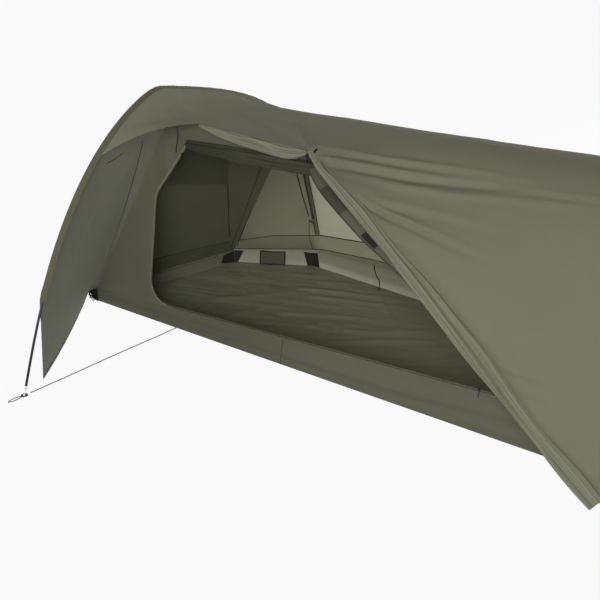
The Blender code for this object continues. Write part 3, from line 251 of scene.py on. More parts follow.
def at_distances(line, wanted):
    line = np.asarray(line, float)
    return np.stack([np.interp(wanted, distances(line), values) for values in line.T], -1)


def evenly(line, count):
    return at_distances(line, np.linspace(0, distances(line)[-1], count))


def spline(values, places):
    """A smooth curve, or stack of curves, through rows of values, at a number of places or at given ones."""
    v = np.asarray(values, float)
    last = len(v) - 1
    ends = np.concatenate([[2 * v[0] - v[1]], v, [2 * v[-1] - v[-2]]])
    s = np.linspace(0, last, places) if np.isscalar(places) else np.clip(places, 0, last)
    i = np.minimum(s.astype(int), last - 1)
    t = (s - i).reshape((-1,) + (1,) * (v.ndim - 1))
    a, b, c, d = (ends[i + k] for k in range(4))
    return 0.5 * (2 * b + (c - a) * t + (2 * a - 5 * b + 4 * c - d) * t * t + (3 * b - a - 3 * c + d) * t**3)


def refined(grid, rows, columns):
    return spline(np.swapaxes(spline(grid, rows), 0, 1), columns).swapaxes(0, 1)


def smoothstep(t):
    t = np.clip(t, 0, 1)
    return t * t * (3 - 2 * t)


def patchy(u, v, scale, seed, octaves=3):
    """Smooth noise from -1 to 1 over a cloth, with u and v in metres."""
    total, weight, cells = 0.0, 1.0, 64
    rng = np.random.default_rng(seed)
    for _ in range(octaves):
        lattice = rng.uniform(-1, 1, (cells, cells))
        x, y = u * scale + 17.3, v * scale + 5.1
        i, j = np.floor(x).astype(int), np.floor(y).astype(int)
        fx, fy = smoothstep(x - i), smoothstep(y - j)
        low, high = (lerp(lattice[i % cells, k % cells], lattice[(i + 1) % cells, k % cells], fx)
                     for k in (j, j + 1))
        total = total + weight * lerp(low, high, fy)
        weight *= 0.5
        scale *= 2.1
    return total / 1.6


# Arches, with the stations that the solids have


def bezier(control, count):
    """The curve's points, all but the last."""
    a, b, c, d = control
    t = np.linspace(0, 1, count, endpoint=False)[:, None]
    s = 1 - t
    return s**3 * a + 3 * s * s * t * b + 3 * s * t * t * c + t**3 * d


def arch_outline(near_foot, crest, far_foot, near_shape, far_shape, elbow):
    near_half, near_drop, far_half, far_drop = elbow
    near_foot, far_foot = vec(near_foot, 0), vec(far_foot, 0)
    near_end = vec(crest[0] - near_half, crest[1] - near_drop)
    far_start = vec(crest[0] + far_half, crest[1] - far_drop)
    near_leg, far_leg = (
        [start, *(start + (end - start) * vec(*share) for share in shape), end]
        for start, end, shape in ((near_foot, near_end, near_shape), (far_start, far_foot, far_shape)))
    reach = np.linalg.norm(far_start - near_end) / 3
    top = (near_end, near_end + unit(near_end - near_leg[2]) * reach,
           far_start - unit(far_leg[1] - far_start) * reach, far_start)
    return np.concatenate([bezier(near_leg, 60), bezier(top, 16), bezier(far_leg, 60), [far_foot]])


class Arch:
    """A bent pole: its stations, the level way across it, and the ways out of it."""

    def __init__(self, x, lean, outline, section_steps):
        self.side = unit(vec(1, 0, -lean))
        line = np.array([vec(x + lean * z, y, z) for y, z in outline])
        section = (distances(line)[-1] - 2 * POLE_END) / len(section_steps)
        wanted = [POLE_END]
        for index, steps in enumerate(section_steps):
            wanted += [POLE_END + section * (index + (k + 1) / steps) for k in range(steps)]
        self.points = at_distances(line, wanted)
        self.last = len(self.points) - 1
        self.ups = unit(np.cross(self.side, np.gradient(self.points, axis=0)))
        tips, inward = self.points[[0, -1]], self.points[[1, -2]] - self.points[[0, -1]]
        self.feet = tips - inward * ((tips[:, 2:] - EYELET_THICKNESS / 2) / inward[:, 2:])

    def beside(self, offset):
        return self.points + self.side * offset

    def under(self, drop):
        return self.points - self.ups * drop


MAIN = Arch(ARCH_X, ARCH_LEAN, arch_outline(
    NEAR_Y - VESTIBULE_DEPTH,
    (NEAR_Y - PEAK_OVERHANG, PEAK_HEIGHT),
    FAR_ARCH_Y + FOOT_CLEARANCE,
    ((0.085, 0.16), (0.290, 0.785)),
    ((0.570, 0.085), (0.900, 0.170)),
    (0.04, 0.022, 0.04, 0.003),
), MAIN_SECTION_STEPS)
FOOT = Arch(FOOT_X + FOOT_ARCH_GAP, 0.0, arch_outline(
    NEAR_Y - FOOT_VESTIBULE_DEPTH,
    (NEAR_Y + CREST_INBOARD, CREST_HEIGHT),
    FAR_FOOT_Y + FOOT_CLEARANCE,
    ((0.10, 0.45), (0.42, 0.92)),
    ((0.58, 0.08), (0.92, 0.50)),
    (CREST_HALF_WIDTH, CREST_DROP, CREST_HALF_WIDTH, CREST_DROP),
), FOOT_SECTION_STEPS)
PEAK = int(np.argmax(MAIN.points[:, 2]))
SEAM_END = PEAK + int(sum(MAIN.points[PEAK:, 2] > INNER_SEAM_TOP)) - 1
HEAD_EDGE = MAIN.beside(-SLEEVE_EDGE)
ROOF_EDGE = MAIN.beside(SLEEVE_EDGE)
ROOF_END = FOOT.beside(-SLEEVE_EDGE)
INNER_TOP = MAIN.under(INNER_HEAD_DROP)


# Materials


class Nodes:
    """A material's or a world's node tree, with short calls for its nodes."""

    def __init__(self, owner):
        owner.use_nodes = True
        self.owner, self.tree = owner, owner.node_tree
        self.tree.nodes.clear()

    def put(self, socket, value):
        if isinstance(value, bpy.types.NodeSocket):
            self.tree.links.new(value, socket)
        else:
            socket.default_value = value

    def add(self, kind, inputs=None, **settings):
        node = self.tree.nodes.new("ShaderNode" + kind)
        for key, value in settings.items():
            setattr(node, key, value)
        for key, value in (inputs or {}).items():
            self.put(node.inputs[key], value)
        return node

    def math(self, operation, a, b):
        return self.add("Math", {0: a, 1: b}, operation=operation).outputs[0]

    def times(self, value, by):
        return self.math("MULTIPLY", value, by)

    def noise(self, place, scale, detail, roughness=0.5):
        inputs = {"Vector": place, "Scale": scale, "Detail": detail, "Roughness": roughness}
        return self.add("TexNoise", inputs).outputs[0]

    def blend(self, factor, a, b):
        return self.add("Mix", {"Factor": factor, 6: a, 7: b}, data_type="RGBA").outputs[2]

    def bump(self, height, strength=1.0):
        return self.add("Bump", {"Height": height, "Distance": 1.0, "Strength": strength}).outputs[0]

    def principled(self, colour, normal, rough, specular, **more):
        inputs = {"Base Color": colour, "Normal": normal, "Roughness": rough, "Specular IOR Level": specular}
        return self.add("BsdfPrincipled", {**inputs, **more}).outputs[0]

    def finish(self, shader, kind="OutputMaterial"):
        self.add(kind, {"Surface": shader})
        return self.owner


def material(name):
    """A material under construction, its places on the piece, and the two axes of its map."""
    f = Nodes(bpy.data.materials.new(name))
    place = f.add("TexCoord").outputs
    apart = f.add("SeparateXYZ", {0: place["UV"]}).outputs
    return f, place, apart[0], apart[1]


def shade(colour, by):
    return (*(c * by for c in colour), 1.0)


def cloth(name, colour, through, rough=0.6, passed=(0.62, 0.63, 0.47), grid=0.006, crumple=0.0005):
    """Thin woven nylon: ripstop squares, soft crumples, and light that comes through."""
    f, place, *axes = material(name)
    lines = [f.math("LESS_THAN", f.math("PINGPONG", axis, grid / 2), grid * 0.07) for axis in axes]
    ripstop = f.math("MAXIMUM", *lines)
    broad = f.noise(place["Object"], 4.0, 3.0)
    fine = f.noise(place["Object"], 38.0, 5.0, 0.6)
    weave = f.noise(place["UV"], 1400.0, 1.0)
    tone = f.blend(broad, shade(colour, 0.93), shade(colour, 1.07))
    tone = f.blend(f.times(weave, 0.22), tone, shade(colour, 0.80))
    tone = f.blend(f.times(ripstop, 0.45), tone, shade(colour, 1.30))
    height = f.math("ADD", f.times(fine, crumple), f.times(ripstop, 0.00012))
    normal = f.bump(f.math("ADD", height, f.times(weave, 0.00010)))
    shader = f.principled(tone, normal, rough, 0.10, **{"Sheen Weight": 0.02, "Sheen Roughness": 0.4})
    lit = f.blend(broad, shade(passed, 0.92), shade(passed, 1.08))
    lit = f.blend(f.times(ripstop, 0.5), lit, shade(passed, 0.70))
    light = f.add("BsdfTranslucent", {"Color": lit, "Normal": normal}).outputs[0]
    return f.finish(f.add("MixShader", {0: through, 1: shader, 2: light}).outputs[0])


def webbing(name, colour, rib=0.0012, rough=0.75):
    """Woven tape: ribs across it, with a fine grain."""
    f, place, along, _ = material(name)
    ribs = f.math("DIVIDE", f.math("PINGPONG", along, rib / 2), rib / 2)
    grain = f.noise(place["Object"], 500.0, 2.0)
    tone = f.blend(ribs, shade(colour, 0.65), shade(colour, 1.15))
    tone = f.blend(f.times(grain, 0.5), tone, shade(colour, 0.75))
    height = f.math("ADD", f.times(ribs, 0.00025), f.times(grain, 0.0002))
    return f.finish(f.principled(tone, f.bump(height, 0.8), rough, 0.12))


def solid(name, colour, rough, metallic=0.0, specular=0.5):
    """Moulded plastic or drawn metal with a fine grain and slightly uneven gloss."""
    f, place, _, _ = material(name)
    grain, broad = f.noise(place["Object"], 220.0, 4.0), f.noise(place["Object"], 30.0, 2.0)
    tone = f.blend(f.times(broad, 0.48), shade(colour, 0.9), shade(colour, 1.35))
    gloss = f.add("MapRange", {0: grain, 1: 0.3, 2: 0.7, 3: rough - 0.08, 4: rough + 0.10}).outputs[0]
    normal = f.bump(f.times(grain, 0.00006))
    return f.finish(f.principled(tone, normal, gloss, specular, Metallic=metallic))


def braid(name, colour):
    """A braided cord: strands that cross on the slant, with the map's u along and v around."""
    f, _, along, around = material(name)
    one, two = (f.math("PINGPONG", f.math(way, along, around), STRAND) for way in ("ADD", "SUBTRACT"))
    strands = f.math("DIVIDE", f.math("MAXIMUM", one, two), STRAND)
    tone = f.blend(strands, shade(colour, 0.6), shade(colour, 1.2))
    return f.finish(f.principled(tone, f.bump(f.times(strands, 0.0002)), 0.8, 0.12))


FLY = (0.213, 0.215, 0.151)
INNER = (0.165, 0.167, 0.122)
FLY_WEAVE = {"grid": 0.010, "crumple": 0.0009}
FINISH = {
    "fly": cloth("fly nylon", FLY, 0.28, passed=(0.56, 0.57, 0.46), **FLY_WEAVE),
    # Painted light: the back is the fly's own nylon, given a brighter pass-through colour and a larger share
    # of it so that it glows.
    "fly back": cloth("fly back nylon", FLY, 0.50, passed=(0.80, 0.81, 0.68), **FLY_WEAVE),
    # Painted shade: the door nylon is the fly's, a touch darker, for the bunched door, its strip and the
    # fly's hems.
    "door": cloth("door nylon in painted shade", (0.203, 0.205, 0.145), 0.12, **FLY_WEAVE),
    "sleeve": cloth("sleeve nylon", (0.120, 0.112, 0.070), 0.10, crumple=0.0008),
    "hem": webbing("hem tape", (0.085, 0.085, 0.060)),
    "inner": cloth("inner nylon", INNER, 0.34, passed=(0.50, 0.51, 0.42), grid=0.005),
    # Painted light: the far wall is the inner nylon, given a brighter pass-through colour and a larger share
    # of it so that it glows.
    "inner far": cloth("far wall nylon", INNER, 0.66, passed=(0.93, 0.94, 0.83), grid=0.005),
    # Painted shade: the inner nylon darkened a long way, for the rolled inner door under the header and for
    # the shadow on the fly's flap.
    "inner deep shade": cloth("inner nylon in deep painted shade", (0.048, 0.049, 0.032), 0.06, grid=0.005),
    # Painted shade: the inner nylon darkened, for the head wall, the band along its foot and the pole
    # sleeve's shadow on the far wall.
    "inner shade": cloth("inner nylon in painted shade", (0.110, 0.113, 0.076), 0.30, grid=0.005),
    # Painted shade: the flap is the door's nylon, darkened where it lies under the gathered door.
    "flap": cloth("flap nylon in painted shade", (0.088, 0.090, 0.064), 0.10, grid=0.004),
    "floor": cloth("groundsheet nylon", (0.230, 0.232, 0.166), 0.05, rough=0.5, crumple=0.001),
    # The tub's walls are the groundsheet's nylon, painted darker for shade on the near, foot-end and head
    # walls and lighter for light on the two far walls.
    "tub": cloth("tub nylon in painted shade", (0.118, 0.120, 0.084), 0.10, passed=(0.62, 0.63, 0.50),
                 crumple=0.001),
    "tub painted light": cloth("tub nylon in painted light", (0.250, 0.252, 0.184), 0.14, passed=(0.66, 0.67, 0.55),
                     crumple=0.001),
    "lining": cloth("sleeve lining", (0.205, 0.196, 0.132), 0.30, passed=(0.62, 0.59, 0.44)),
    # A darker nylon for the panel on the head wall's upper part.
    "dark head panel": cloth("dark head panel nylon", (0.080, 0.083, 0.055), 0.22, grid=0.003),
    "band": cloth("band nylon", (0.21, 0.212, 0.155), 0.60, passed=(0.85, 0.86, 0.74), grid=0.005),
    "seam": webbing("seam tape", (0.055, 0.056, 0.038)),
    "webbing": webbing("black webbing", (0.020, 0.021, 0.016)),
    "zip": webbing("zip tape", (0.27, 0.265, 0.195), rib=0.0016),
    # Painted shade: darker copies of the zip tape, for its run along the sill.
    "zip mid": webbing("zip tape in shade", (0.17, 0.168, 0.122), rib=0.0016),
    "zip deep shade": webbing("zip tape in deep shade", (0.080, 0.080, 0.058), rib=0.0016),
    "coil": webbing("zip coil", (0.14, 0.14, 0.10), rib=0.0016, rough=0.4),
    "pole": solid("black anodised aluminium", (0.018, 0.018, 0.020), 0.32, metallic=0.85),
    "bare": solid("bare aluminium", (0.55, 0.56, 0.57), 0.34, metallic=1.0),
    "plastic": solid("black acetal", (0.010, 0.010, 0.010), 0.6, specular=0.08),
    "cord": braid("black braid", (0.028, 0.028, 0.026)),
    "mesh": webbing("pocket mesh", (0.070, 0.072, 0.051), rib=0.002),
}


# Meshes


def made(name, points, faces, finish, uv, body="tent", smooth_angle=None):
    mesh = bpy.data.meshes.new(name)
    mesh.from_pydata(np.reshape(points, (-1, 3)).tolist(), [], faces)
    corners = np.array([loop.vertex_index for loop in mesh.loops])
    layer = mesh.uv_layers.new(name="cut")
    layer.uv.foreach_set("vector", np.reshape(uv, (-1, 2)).astype(np.float32)[corners].ravel())
    mesh.materials.append(FINISH[finish])
    mesh.shade_smooth()
    if smooth_angle is not None:
        mesh.set_sharp_from_angle(angle=smooth_angle)
    obj = placed(name, mesh)
    if body is not None:
        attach(obj, body)
    return obj


def refinish(obj, finishes, indices):
    """Gives faces other finishes, by an index for each face, where 0 keeps the first one."""
    for finish in finishes:
        obj.data.materials.append(FINISH[finish])
    obj.data.polygons.foreach_set("material_index", np.asarray(indices, np.int32))


def tagged(obj, slot, *nodes):
    """Hides the solids that a piece stands for; the slot, what the piece is made of, is not used."""
    if nodes:
        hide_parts(*nodes)
    return obj


def corded(obj):
    return obj


def cut_of(grid):
    """Flat places on the cloth, in metres, from the lengths along its own lines."""
    runs = [np.cumsum(np.linalg.norm(np.diff(grid, axis=axis), axis=2), axis) for axis in (0, 1)]
    return np.pad(runs[0], ((1, 0), (0, 0))), np.pad(runs[1], ((0, 0), (1, 0)))


def normals_of(grid, towards):
    """The grid's normals, on the side that a direction points to."""
    normals = np.cross(np.gradient(grid, axis=0), np.gradient(grid, axis=1))
    normals /= np.maximum(np.linalg.norm(normals, axis=2, keepdims=True), 1e-12)
    return normals * (np.sign((normals @ vec(*towards)).sum()) or 1.0)


def grid_faces(rows, columns, start=0, loop=False):
    a = start + np.arange((rows - 1) * columns).reshape(rows - 1, columns)
    b = np.roll(a, -1, axis=1)
    faces = np.stack([a, b, b + columns, a + columns], -1)
    return (faces if loop else faces[:, :-1]).reshape(-1, 4).tolist()


def tube_faces(rows, sides):
    """A tube's faces, with its two ends."""
    ends = [list(range(sides))[::-1], list(range((rows - 1) * sides, rows * sides))]
    return grid_faces(rows, sides, loop=True) + ends


def area_of(grid):
    one = np.cross(grid[1:, :-1] - grid[:-1, :-1], grid[:-1, 1:] - grid[:-1, :-1])
    two = np.cross(grid[1:, :-1] - grid[1:, 1:], grid[:-1, 1:] - grid[1:, 1:])
    return float(np.linalg.norm(one, axis=2).sum() + np.linalg.norm(two, axis=2).sum()) / 2


def joined(name, grids, finish):
    """One piece from several grids of points."""
    points, faces, uvs = [], [], []
    for grid in grids:
        faces += grid_faces(*grid.shape[:2], start=len(points))
        points += list(grid.reshape(-1, 3))
        uvs += list(np.stack(cut_of(grid), -1).reshape(-1, 2))
    return made(name, points, faces, finish, uvs)


CLOTHS = {}


def cloth_piece(name, grid, finish, *nodes, slot="fly_cloth", held="stretched"):
    CLOTHS[name] = grid
    obj = joined(name, [grid], finish)
    u, v = cut_of(grid)
    width, length, area = float(v.max()), float(u.max()), area_of(grid)
    if area > width * length:
        length = area / width * 1.002
    return tagged(obj, slot, *nodes)


def edge_fade(grid, rows, columns):
    """One over the middle of a panel, falling to nothing over a share of its rows and columns."""
    i, j = shares(grid.shape[0])[:, None], shares(grid.shape[1])
    return smoothstep(np.minimum(i, 1 - i) / rows) * smoothstep(np.minimum(j, 1 - j) / columns)


def crease(grid, pixels, width, start, end):
    """A fold along a line drawn over the photograph, as a share of its height at each point."""
    x, y = seen(grid)
    pixels = np.asarray(pixels, float)
    run = distances(pixels)
    best = np.full(x.shape, 1e9)
    share = np.zeros(x.shape)
    for k, (a, b) in enumerate(zip(pixels, pixels[1:])):
        along = b - a
        t = np.clip(((x - a[0]) * along[0] + (y - a[1]) * along[1]) / (along @ along), 0, 1)
        away = np.hypot(x - a[0] - t * along[0], y - a[1] - t * along[1])
        share = np.where(away < best, lerp(run[k], run[k + 1], t) / run[-1], share)
        best = np.minimum(best, away)
    return np.exp(-((best / width) ** 2)) * lerp(start, end, share)


def folds_of(grid, folds, *usual):
    """All folds of a list: lines over the photograph, widths in pixels, heights, and shares at both ends."""
    return sum(size * crease(grid, pixels, width, *(ends or usual)) for pixels, width, size, *ends in folds)


def displaced(grid, heights, towards):
    return grid + normals_of(grid, towards) * heights[..., None]


def slackened(grid, towards, broad, long=None, margin=0.08, folds=0.0):
    """A panel with slack: broad swells, swells drawn out along it and folds, all ending at its edges."""
    u, v = cut_of(grid)
    size, scale, seed = broad
    heights = size * patchy(u, v, scale, seed) + folds
    if long:
        size, along, slant, across, seed = long
        heights = heights + size * patchy(u * along + v * slant, v * across, 6.0, seed)
    return displaced(grid, heights * edge_fade(grid, margin, margin), towards)


def over_cloth(grid, pixels, count):
    """Points of a cloth behind a line drawn over the photograph, and its normals there, towards the eye."""
    x, y = seen(grid)
    normals = normals_of(grid, (0, 0, 1))
    points, facing = [], []
    for px, py in evenly(pixels, count):
        i, j = np.unravel_index(np.argmin((x - px) ** 2 + (y - py) ** 2), x.shape)
        k = i + 1 if i + 1 < x.shape[0] else i - 1
        m = j + 1 if j + 1 < x.shape[1] else j - 1
        steps = np.array([[x[k, j] - x[i, j], x[i, m] - x[i, j]], [y[k, j] - y[i, j], y[i, m] - y[i, j]]])
        off = np.array((px - x[i, j], py - y[i, j]))
        a, b = np.clip(np.linalg.lstsq(steps, off, rcond=None)[0], -1.6, 1.6)
        points.append(grid[i, j] + a * (grid[k, j] - grid[i, j]) + b * (grid[i, m] - grid[i, j]))
        facing.append(normals[i, j] * (np.sign(normals[i, j] @ (EYE - points[-1])) or 1.0))
    return np.array(points), np.array(facing)


def seam(grid, pixels, width, lift=0.0020, count=60):
    """A seam tape on a cloth, raised along its middle."""
    points, facing = (spline(line[::3], count) for line in over_cloth(grid, pixels, count))
    facing = unit(facing)
    across = unit(np.cross(np.gradient(points, axis=0), facing))
    k = vec(-1, -0.6, 0, 0.6, 1)
    return swept(points, across, facing, width * k / 2, lift * (1 - 0.6 * k * k))


def panel(grid, first, second, lift, count=40, columns=9):
    """A second layer on a cloth, between two lines drawn over the photograph."""
    lines = between(evenly(first, count), evenly(second, count), columns)
    layers = [over_cloth(grid, line, count) for line in lines]
    return np.array([points + facing * lift for points, facing in layers]).swapaxes(0, 1)


def edge_tape(grid, width, lift, towards):
    """A hem: a tape that lies on a panel along its first column."""
    normals = normals_of(grid, towards)[:, :1]
    return np.array([at_distances(line, np.linspace(0, width, 4)) for line in grid]) + normals * lift


def squared(line, way):
    """The ways along a line, and a way made square to them."""
    along = unit(np.gradient(line, axis=0))
    return along, unit(way - along * (along @ way)[:, None])


def swept(line, across, out, x, z):
    """Rows of points along a line, each at places across it and out of it."""
    return line[:, None] + across[:, None] * x[..., None] + out[:, None] * z[..., None]


def tube(name, line, radius, finish, body="tent", sides=8, flat=1.0):
    """A round or oval tube along a line."""
    line = np.asarray(line, float)
    along = unit(np.gradient(line, axis=0))
    side = unit(np.cross(along, UP if abs(along[0][2]) < 0.9 else vec(1, 0, 0)))
    up = np.cross(side, along)
    angle = 2 * pi * np.arange(sides) / sides
    rings = swept(line, side, up, radius * np.cos(angle), radius * flat * np.sin(angle))
    uv = [(d, k * 2 * pi * radius / sides) for d in distances(line) for k in range(sides)]
    return made(name, rings, tube_faces(len(line), sides), finish, uv, body)


def ribbon(name, line, across, width, thickness, finish, body="tent"):
    """A strap of woven tape: a flat closed strip along a line."""
    line = np.asarray(line, float)
    along, across = squared(line, across)
    x = vec(-0.5, -0.44, 0.44, 0.5, 0.5, 0.44, -0.44, -0.5) * width
    z = np.repeat((-0.5, 0.5), 4) * thickness
    points = swept(line, across, unit(np.cross(along, across)), x, z)
    uv = [(d, place) for d in distances(line) for place in x]
    return made(name, points, tube_faces(len(line), 8), finish, uv, body, smooth_angle=0.9)


# The fly's edges, as the solids have them


def corner_out(index):
    """The level way out of a corner of the floor."""
    here, back, ahead = (CORNERS[(index + k) % 5] for k in (0, -1, 1))
    return -unit(unit(back - here) + unit(ahead - here))


def hem(start, end, count, rise=0.018, bow=0.0):
    t = shares(count)[:, None]
    return lerp(start, end, t) + (UP * rise + bow) * 4 * t * (1 - t)


def coons(bottom, top, left, right):
    """A surface through four edges."""
    u, v = shares(len(bottom))[:, None, None], shares(len(left))[None, :, None]
    edges = lerp(bottom[:, None], top[:, None], v) + lerp(left[None], right[None], u)
    return edges - lerp(lerp(bottom[0], bottom[-1], u), lerp(top[0], top[-1], u), v)


def hem_corner(index, margin):
    return CORNERS[index] + vec(-HEM_HEAD_MARGIN, margin, HEM_HEIGHT)


def head_seam(count):
    return hem(hem_corner(0, -HEM_NEAR_MARGIN), HEAD_EDGE[PEAK], count, 0, vec(HEAD_SEAM_BOW, 0, 0))


def vestibule_grid():
    tip = vec(MAIN.points[0][0], MAIN.points[0][1] + TIP_HEM_INSET, TIP_HEM_HEIGHT)
    arch_edge = np.concatenate([between(tip, HEAD_EDGE[SLEEVE_START], 4)[:3], HEAD_EDGE[SLEEVE_START:PEAK]])
    seam = head_seam(len(arch_edge))
    top = between(arch_edge[-1], seam[-1], 7)
    return coons(hem(arch_edge[0], seam[0], 7, rise=-0.018), top, arch_edge, seam)


def head_end_grid():
    turn, top, left = SEAM_END - PEAK, HEAD_EDGE[PEAK:], head_seam(9)
    far_corner = hem_corner(4, HEM_FAR_MARGIN)
    last = top[-1] + vec(-0.035, -0.002, 0)
    bottom = np.concatenate([hem(left[0], far_corner, turn + 1),
                             hem(far_corner, last, len(top) - turn, rise=0.010)[1:]])
    t = shares(9)[:, None]
    seam_bow = left - lerp(left[0], left[-1], t)
    grid = []
    for i, (low, high) in enumerate(zip(bottom, top)):
        share = min(1.0, i / turn)
        bulge = vec(-1, 0, 0.5) * HEAD_PANEL_BULGE * 16 * t * (1 - t) * share * (1 - share)
        grid.append(lerp(low, high, t) + seam_bow * (1 - share) ** 2 + bulge)
    grid[-1] = hem(last, top[-1], 9, rise=0)
    return np.array(grid)


def foot_end_grid():
    top = FOOT.beside(SLEEVE_EDGE)
    near = vec(FOOT_X + FOOT_END_RUN, NEAR_Y + 0.02, HEM_HEIGHT)
    far = vec(FOOT_X + FOOT_END_RUN, FAR_FOOT_Y - 0.02, HEM_HEIGHT)
    bottom = hem(near, far, len(top), 0, vec(0.02, 0, 0))
    return coons(bottom, top, between(near, top[0], 7), between(far, top[-1], 7))


HEADER = vec(-HEADER_START_X, NEAR_Y - HEADER_OVERHANG, HEADER_HEIGHT)
TOGGLE = vec(TOGGLE_X, NEAR_Y - HEADER_OVERHANG, TOGGLE_HEIGHT)
ROOF_FROM = MAIN.points[ROOF_START][0]
ROOF_LENGTH = FOOT.points[0][0] - ROOF_FROM
HEADER_SHARE = (-HEADER_START_X - ROOF_FROM) / ROOF_LENGTH
TOGGLE_SHARE = (TOGGLE_X - ROOF_FROM) / ROOF_LENGTH


def near_edge(u):
    """The roof's edge over the door: eyebrow, header and the edge down to the foot arch."""
    if u <= HEADER_SHARE:
        t = u / HEADER_SHARE
        return lerp(ROOF_EDGE[ROOF_START], HEADER, t) + UP * EYEBROW_RISE * 4 * t * (1 - t)
    if u <= TOGGLE_SHARE:
        return lerp(HEADER, TOGGLE, (u - HEADER_SHARE) / (TOGGLE_SHARE - HEADER_SHARE))
    return lerp(TOGGLE, ROOF_END[0], (u - TOGGLE_SHARE) / (1 - TOGGLE_SHARE))


def blended(start, end, first, second, first_weight, second_weight):
    """A line between two places that bows as two others do."""
    t = shares(len(first))[:, None]
    line = lerp(start, end, t) + first_weight * (first - lerp(first[0], first[-1], t))
    return line + second_weight * (second - lerp(second[0], second[-1], t))


def roof_grids(columns, roof_rows, back_rows):
    """The roof, near edge to ridge, and the back, ridge to far hem, at any fineness."""
    ridge = PEAK + int(np.argmin(abs(MAIN.points[PEAK:-1, 1] - NEAR_Y - RIDGE_DEPTH)))
    foot_ridge = ridge - ROOF_START
    main_near, foot_near = (
        spline(line, roof_rows) for line in (ROOF_EDGE[ROOF_START:ridge + 1], ROOF_END[:foot_ridge + 1]))
    main_far, foot_far = (spline(line, back_rows) for line in (ROOF_EDGE[ridge:], ROOF_END[foot_ridge:]))
    roof, back = [], []
    for u in columns:
        arc = 4 * u * (1 - u)
        high = lerp(main_near[-1], foot_near[-1], u) - UP * RIDGE_SAG * min(1, 3 * arc)
        far = lerp(main_far[-1], foot_far[-1], u) + vec(0, HEM_BOW, 0.012) * arc
        main_weight = max(0.0, 1 - u / ARCH_BOW_REACH) ** 3
        foot_weight = max(0.0, (u - TOGGLE_SHARE) / (1 - TOGGLE_SHARE))
        roof.append(blended(near_edge(u), high, main_near, foot_near, main_weight, foot_weight))
        back.append(blended(high, far, main_far, foot_far, 1 - u, u))
    return np.array(roof), np.array(back)


def roof_places(finer):
    """Columns of the roof: eyebrow, header and door edge, each with its own share."""
    return np.concatenate([np.linspace(0, HEADER_SHARE, EYEBROW_COLUMNS * finer, endpoint=False),
                           np.linspace(HEADER_SHARE, TOGGLE_SHARE, HEADER_COLUMNS * finer, endpoint=False),
                           np.linspace(TOGGLE_SHARE, 1, EDGE_COLUMNS * finer + 1)])


# The fly

ROOF_FOLDS = (
    (((316, 148), (325, 149), (351, 153), (383, 158.7), (425, 164), (458, 168), (495, 173.5), (560, 187)),
     2.4, 0.0065),
    (((321, 152), (344, 155), (366, 158), (398, 165), (440, 172), (490, 179)), 2.4, -0.0055),
    (((330, 160), (345, 162), (361, 165.4), (404, 172), (430, 175.5), (470, 182)), 2.6, 0.0070),
    (((320, 162.5), (342, 165.6), (361, 169), (385, 174.5), (414, 180), (450, 184), (514, 190), (566, 199),
      (620, 206), (690, 222)), 3.2, -0.0080, 1.0, 0.1),
    (((390, 184.5), (402, 186.5), (455.5, 194.7), (525, 200.8), (594, 205), (700, 228)),
     3.2, 0.0050, 1.0, 0.1),
    (((500, 189), (540, 193), (600, 199), (700, 218)), 3.2, 0.0035, 1.0, 0.2),
    (((372, 205), (402, 211), (447, 222), (514, 242)), 4.0, -0.0040),
    (((380, 201), (402, 205), (447, 214), (520, 231)), 4.0, 0.0035),
    (((334, 172), (351, 178), (378, 185), (410, 192)), 3.4, -0.0030),
    (((366, 202), (385, 210.4), (404, 219), (430, 229.5), (458, 242), (500, 259)), 2.6, 0.0065),
    (((363, 202.5), (376, 210), (385, 216.4), (400, 222.4), (414, 229), (430, 237), (455, 249), (500, 268)),
     2.8, -0.0075),
    (((384, 236), (404, 247), (430, 262)), 3.2, -0.0035),
    (((498, 366), (516, 373), (540, 380), (575, 388)), 2.2, 0.0045),
    (((500, 372), (516, 379), (540, 387), (575, 396)), 2.2, -0.0045),
    (((512, 386), (530, 394), (560, 404)), 2.2, 0.0045),
    (((515, 393), (532, 401), (560, 411)), 2.2, -0.0045),
    (((166.6, 94), (185, 105), (201, 114.4), (208.7, 118.3)), 1.5, 0.0035),
    (((152, 89), (158, 101), (166, 112), (176, 124)), 2.2, 0.0035),
    (((155, 88), (172, 99), (190, 113), (199, 123)), 2.2, -0.0030),
    (((163, 88), (190, 98), (222, 108)), 3.0, 0.0030),
    (((312, 149), (290, 138), (262, 122), (235, 108)), 3.0, 0.0035),
    (((310, 146), (300, 130), (288, 114)), 2.6, -0.0030),
)
ROOF_WAY, BACK_WAY, SIDE_WAY, HEAD_WAY, FOOT_WAY = (0, -1, 1), (0, 1, 1), (1, -1, 0), (-1, 0, 1), (1, 0, 1)


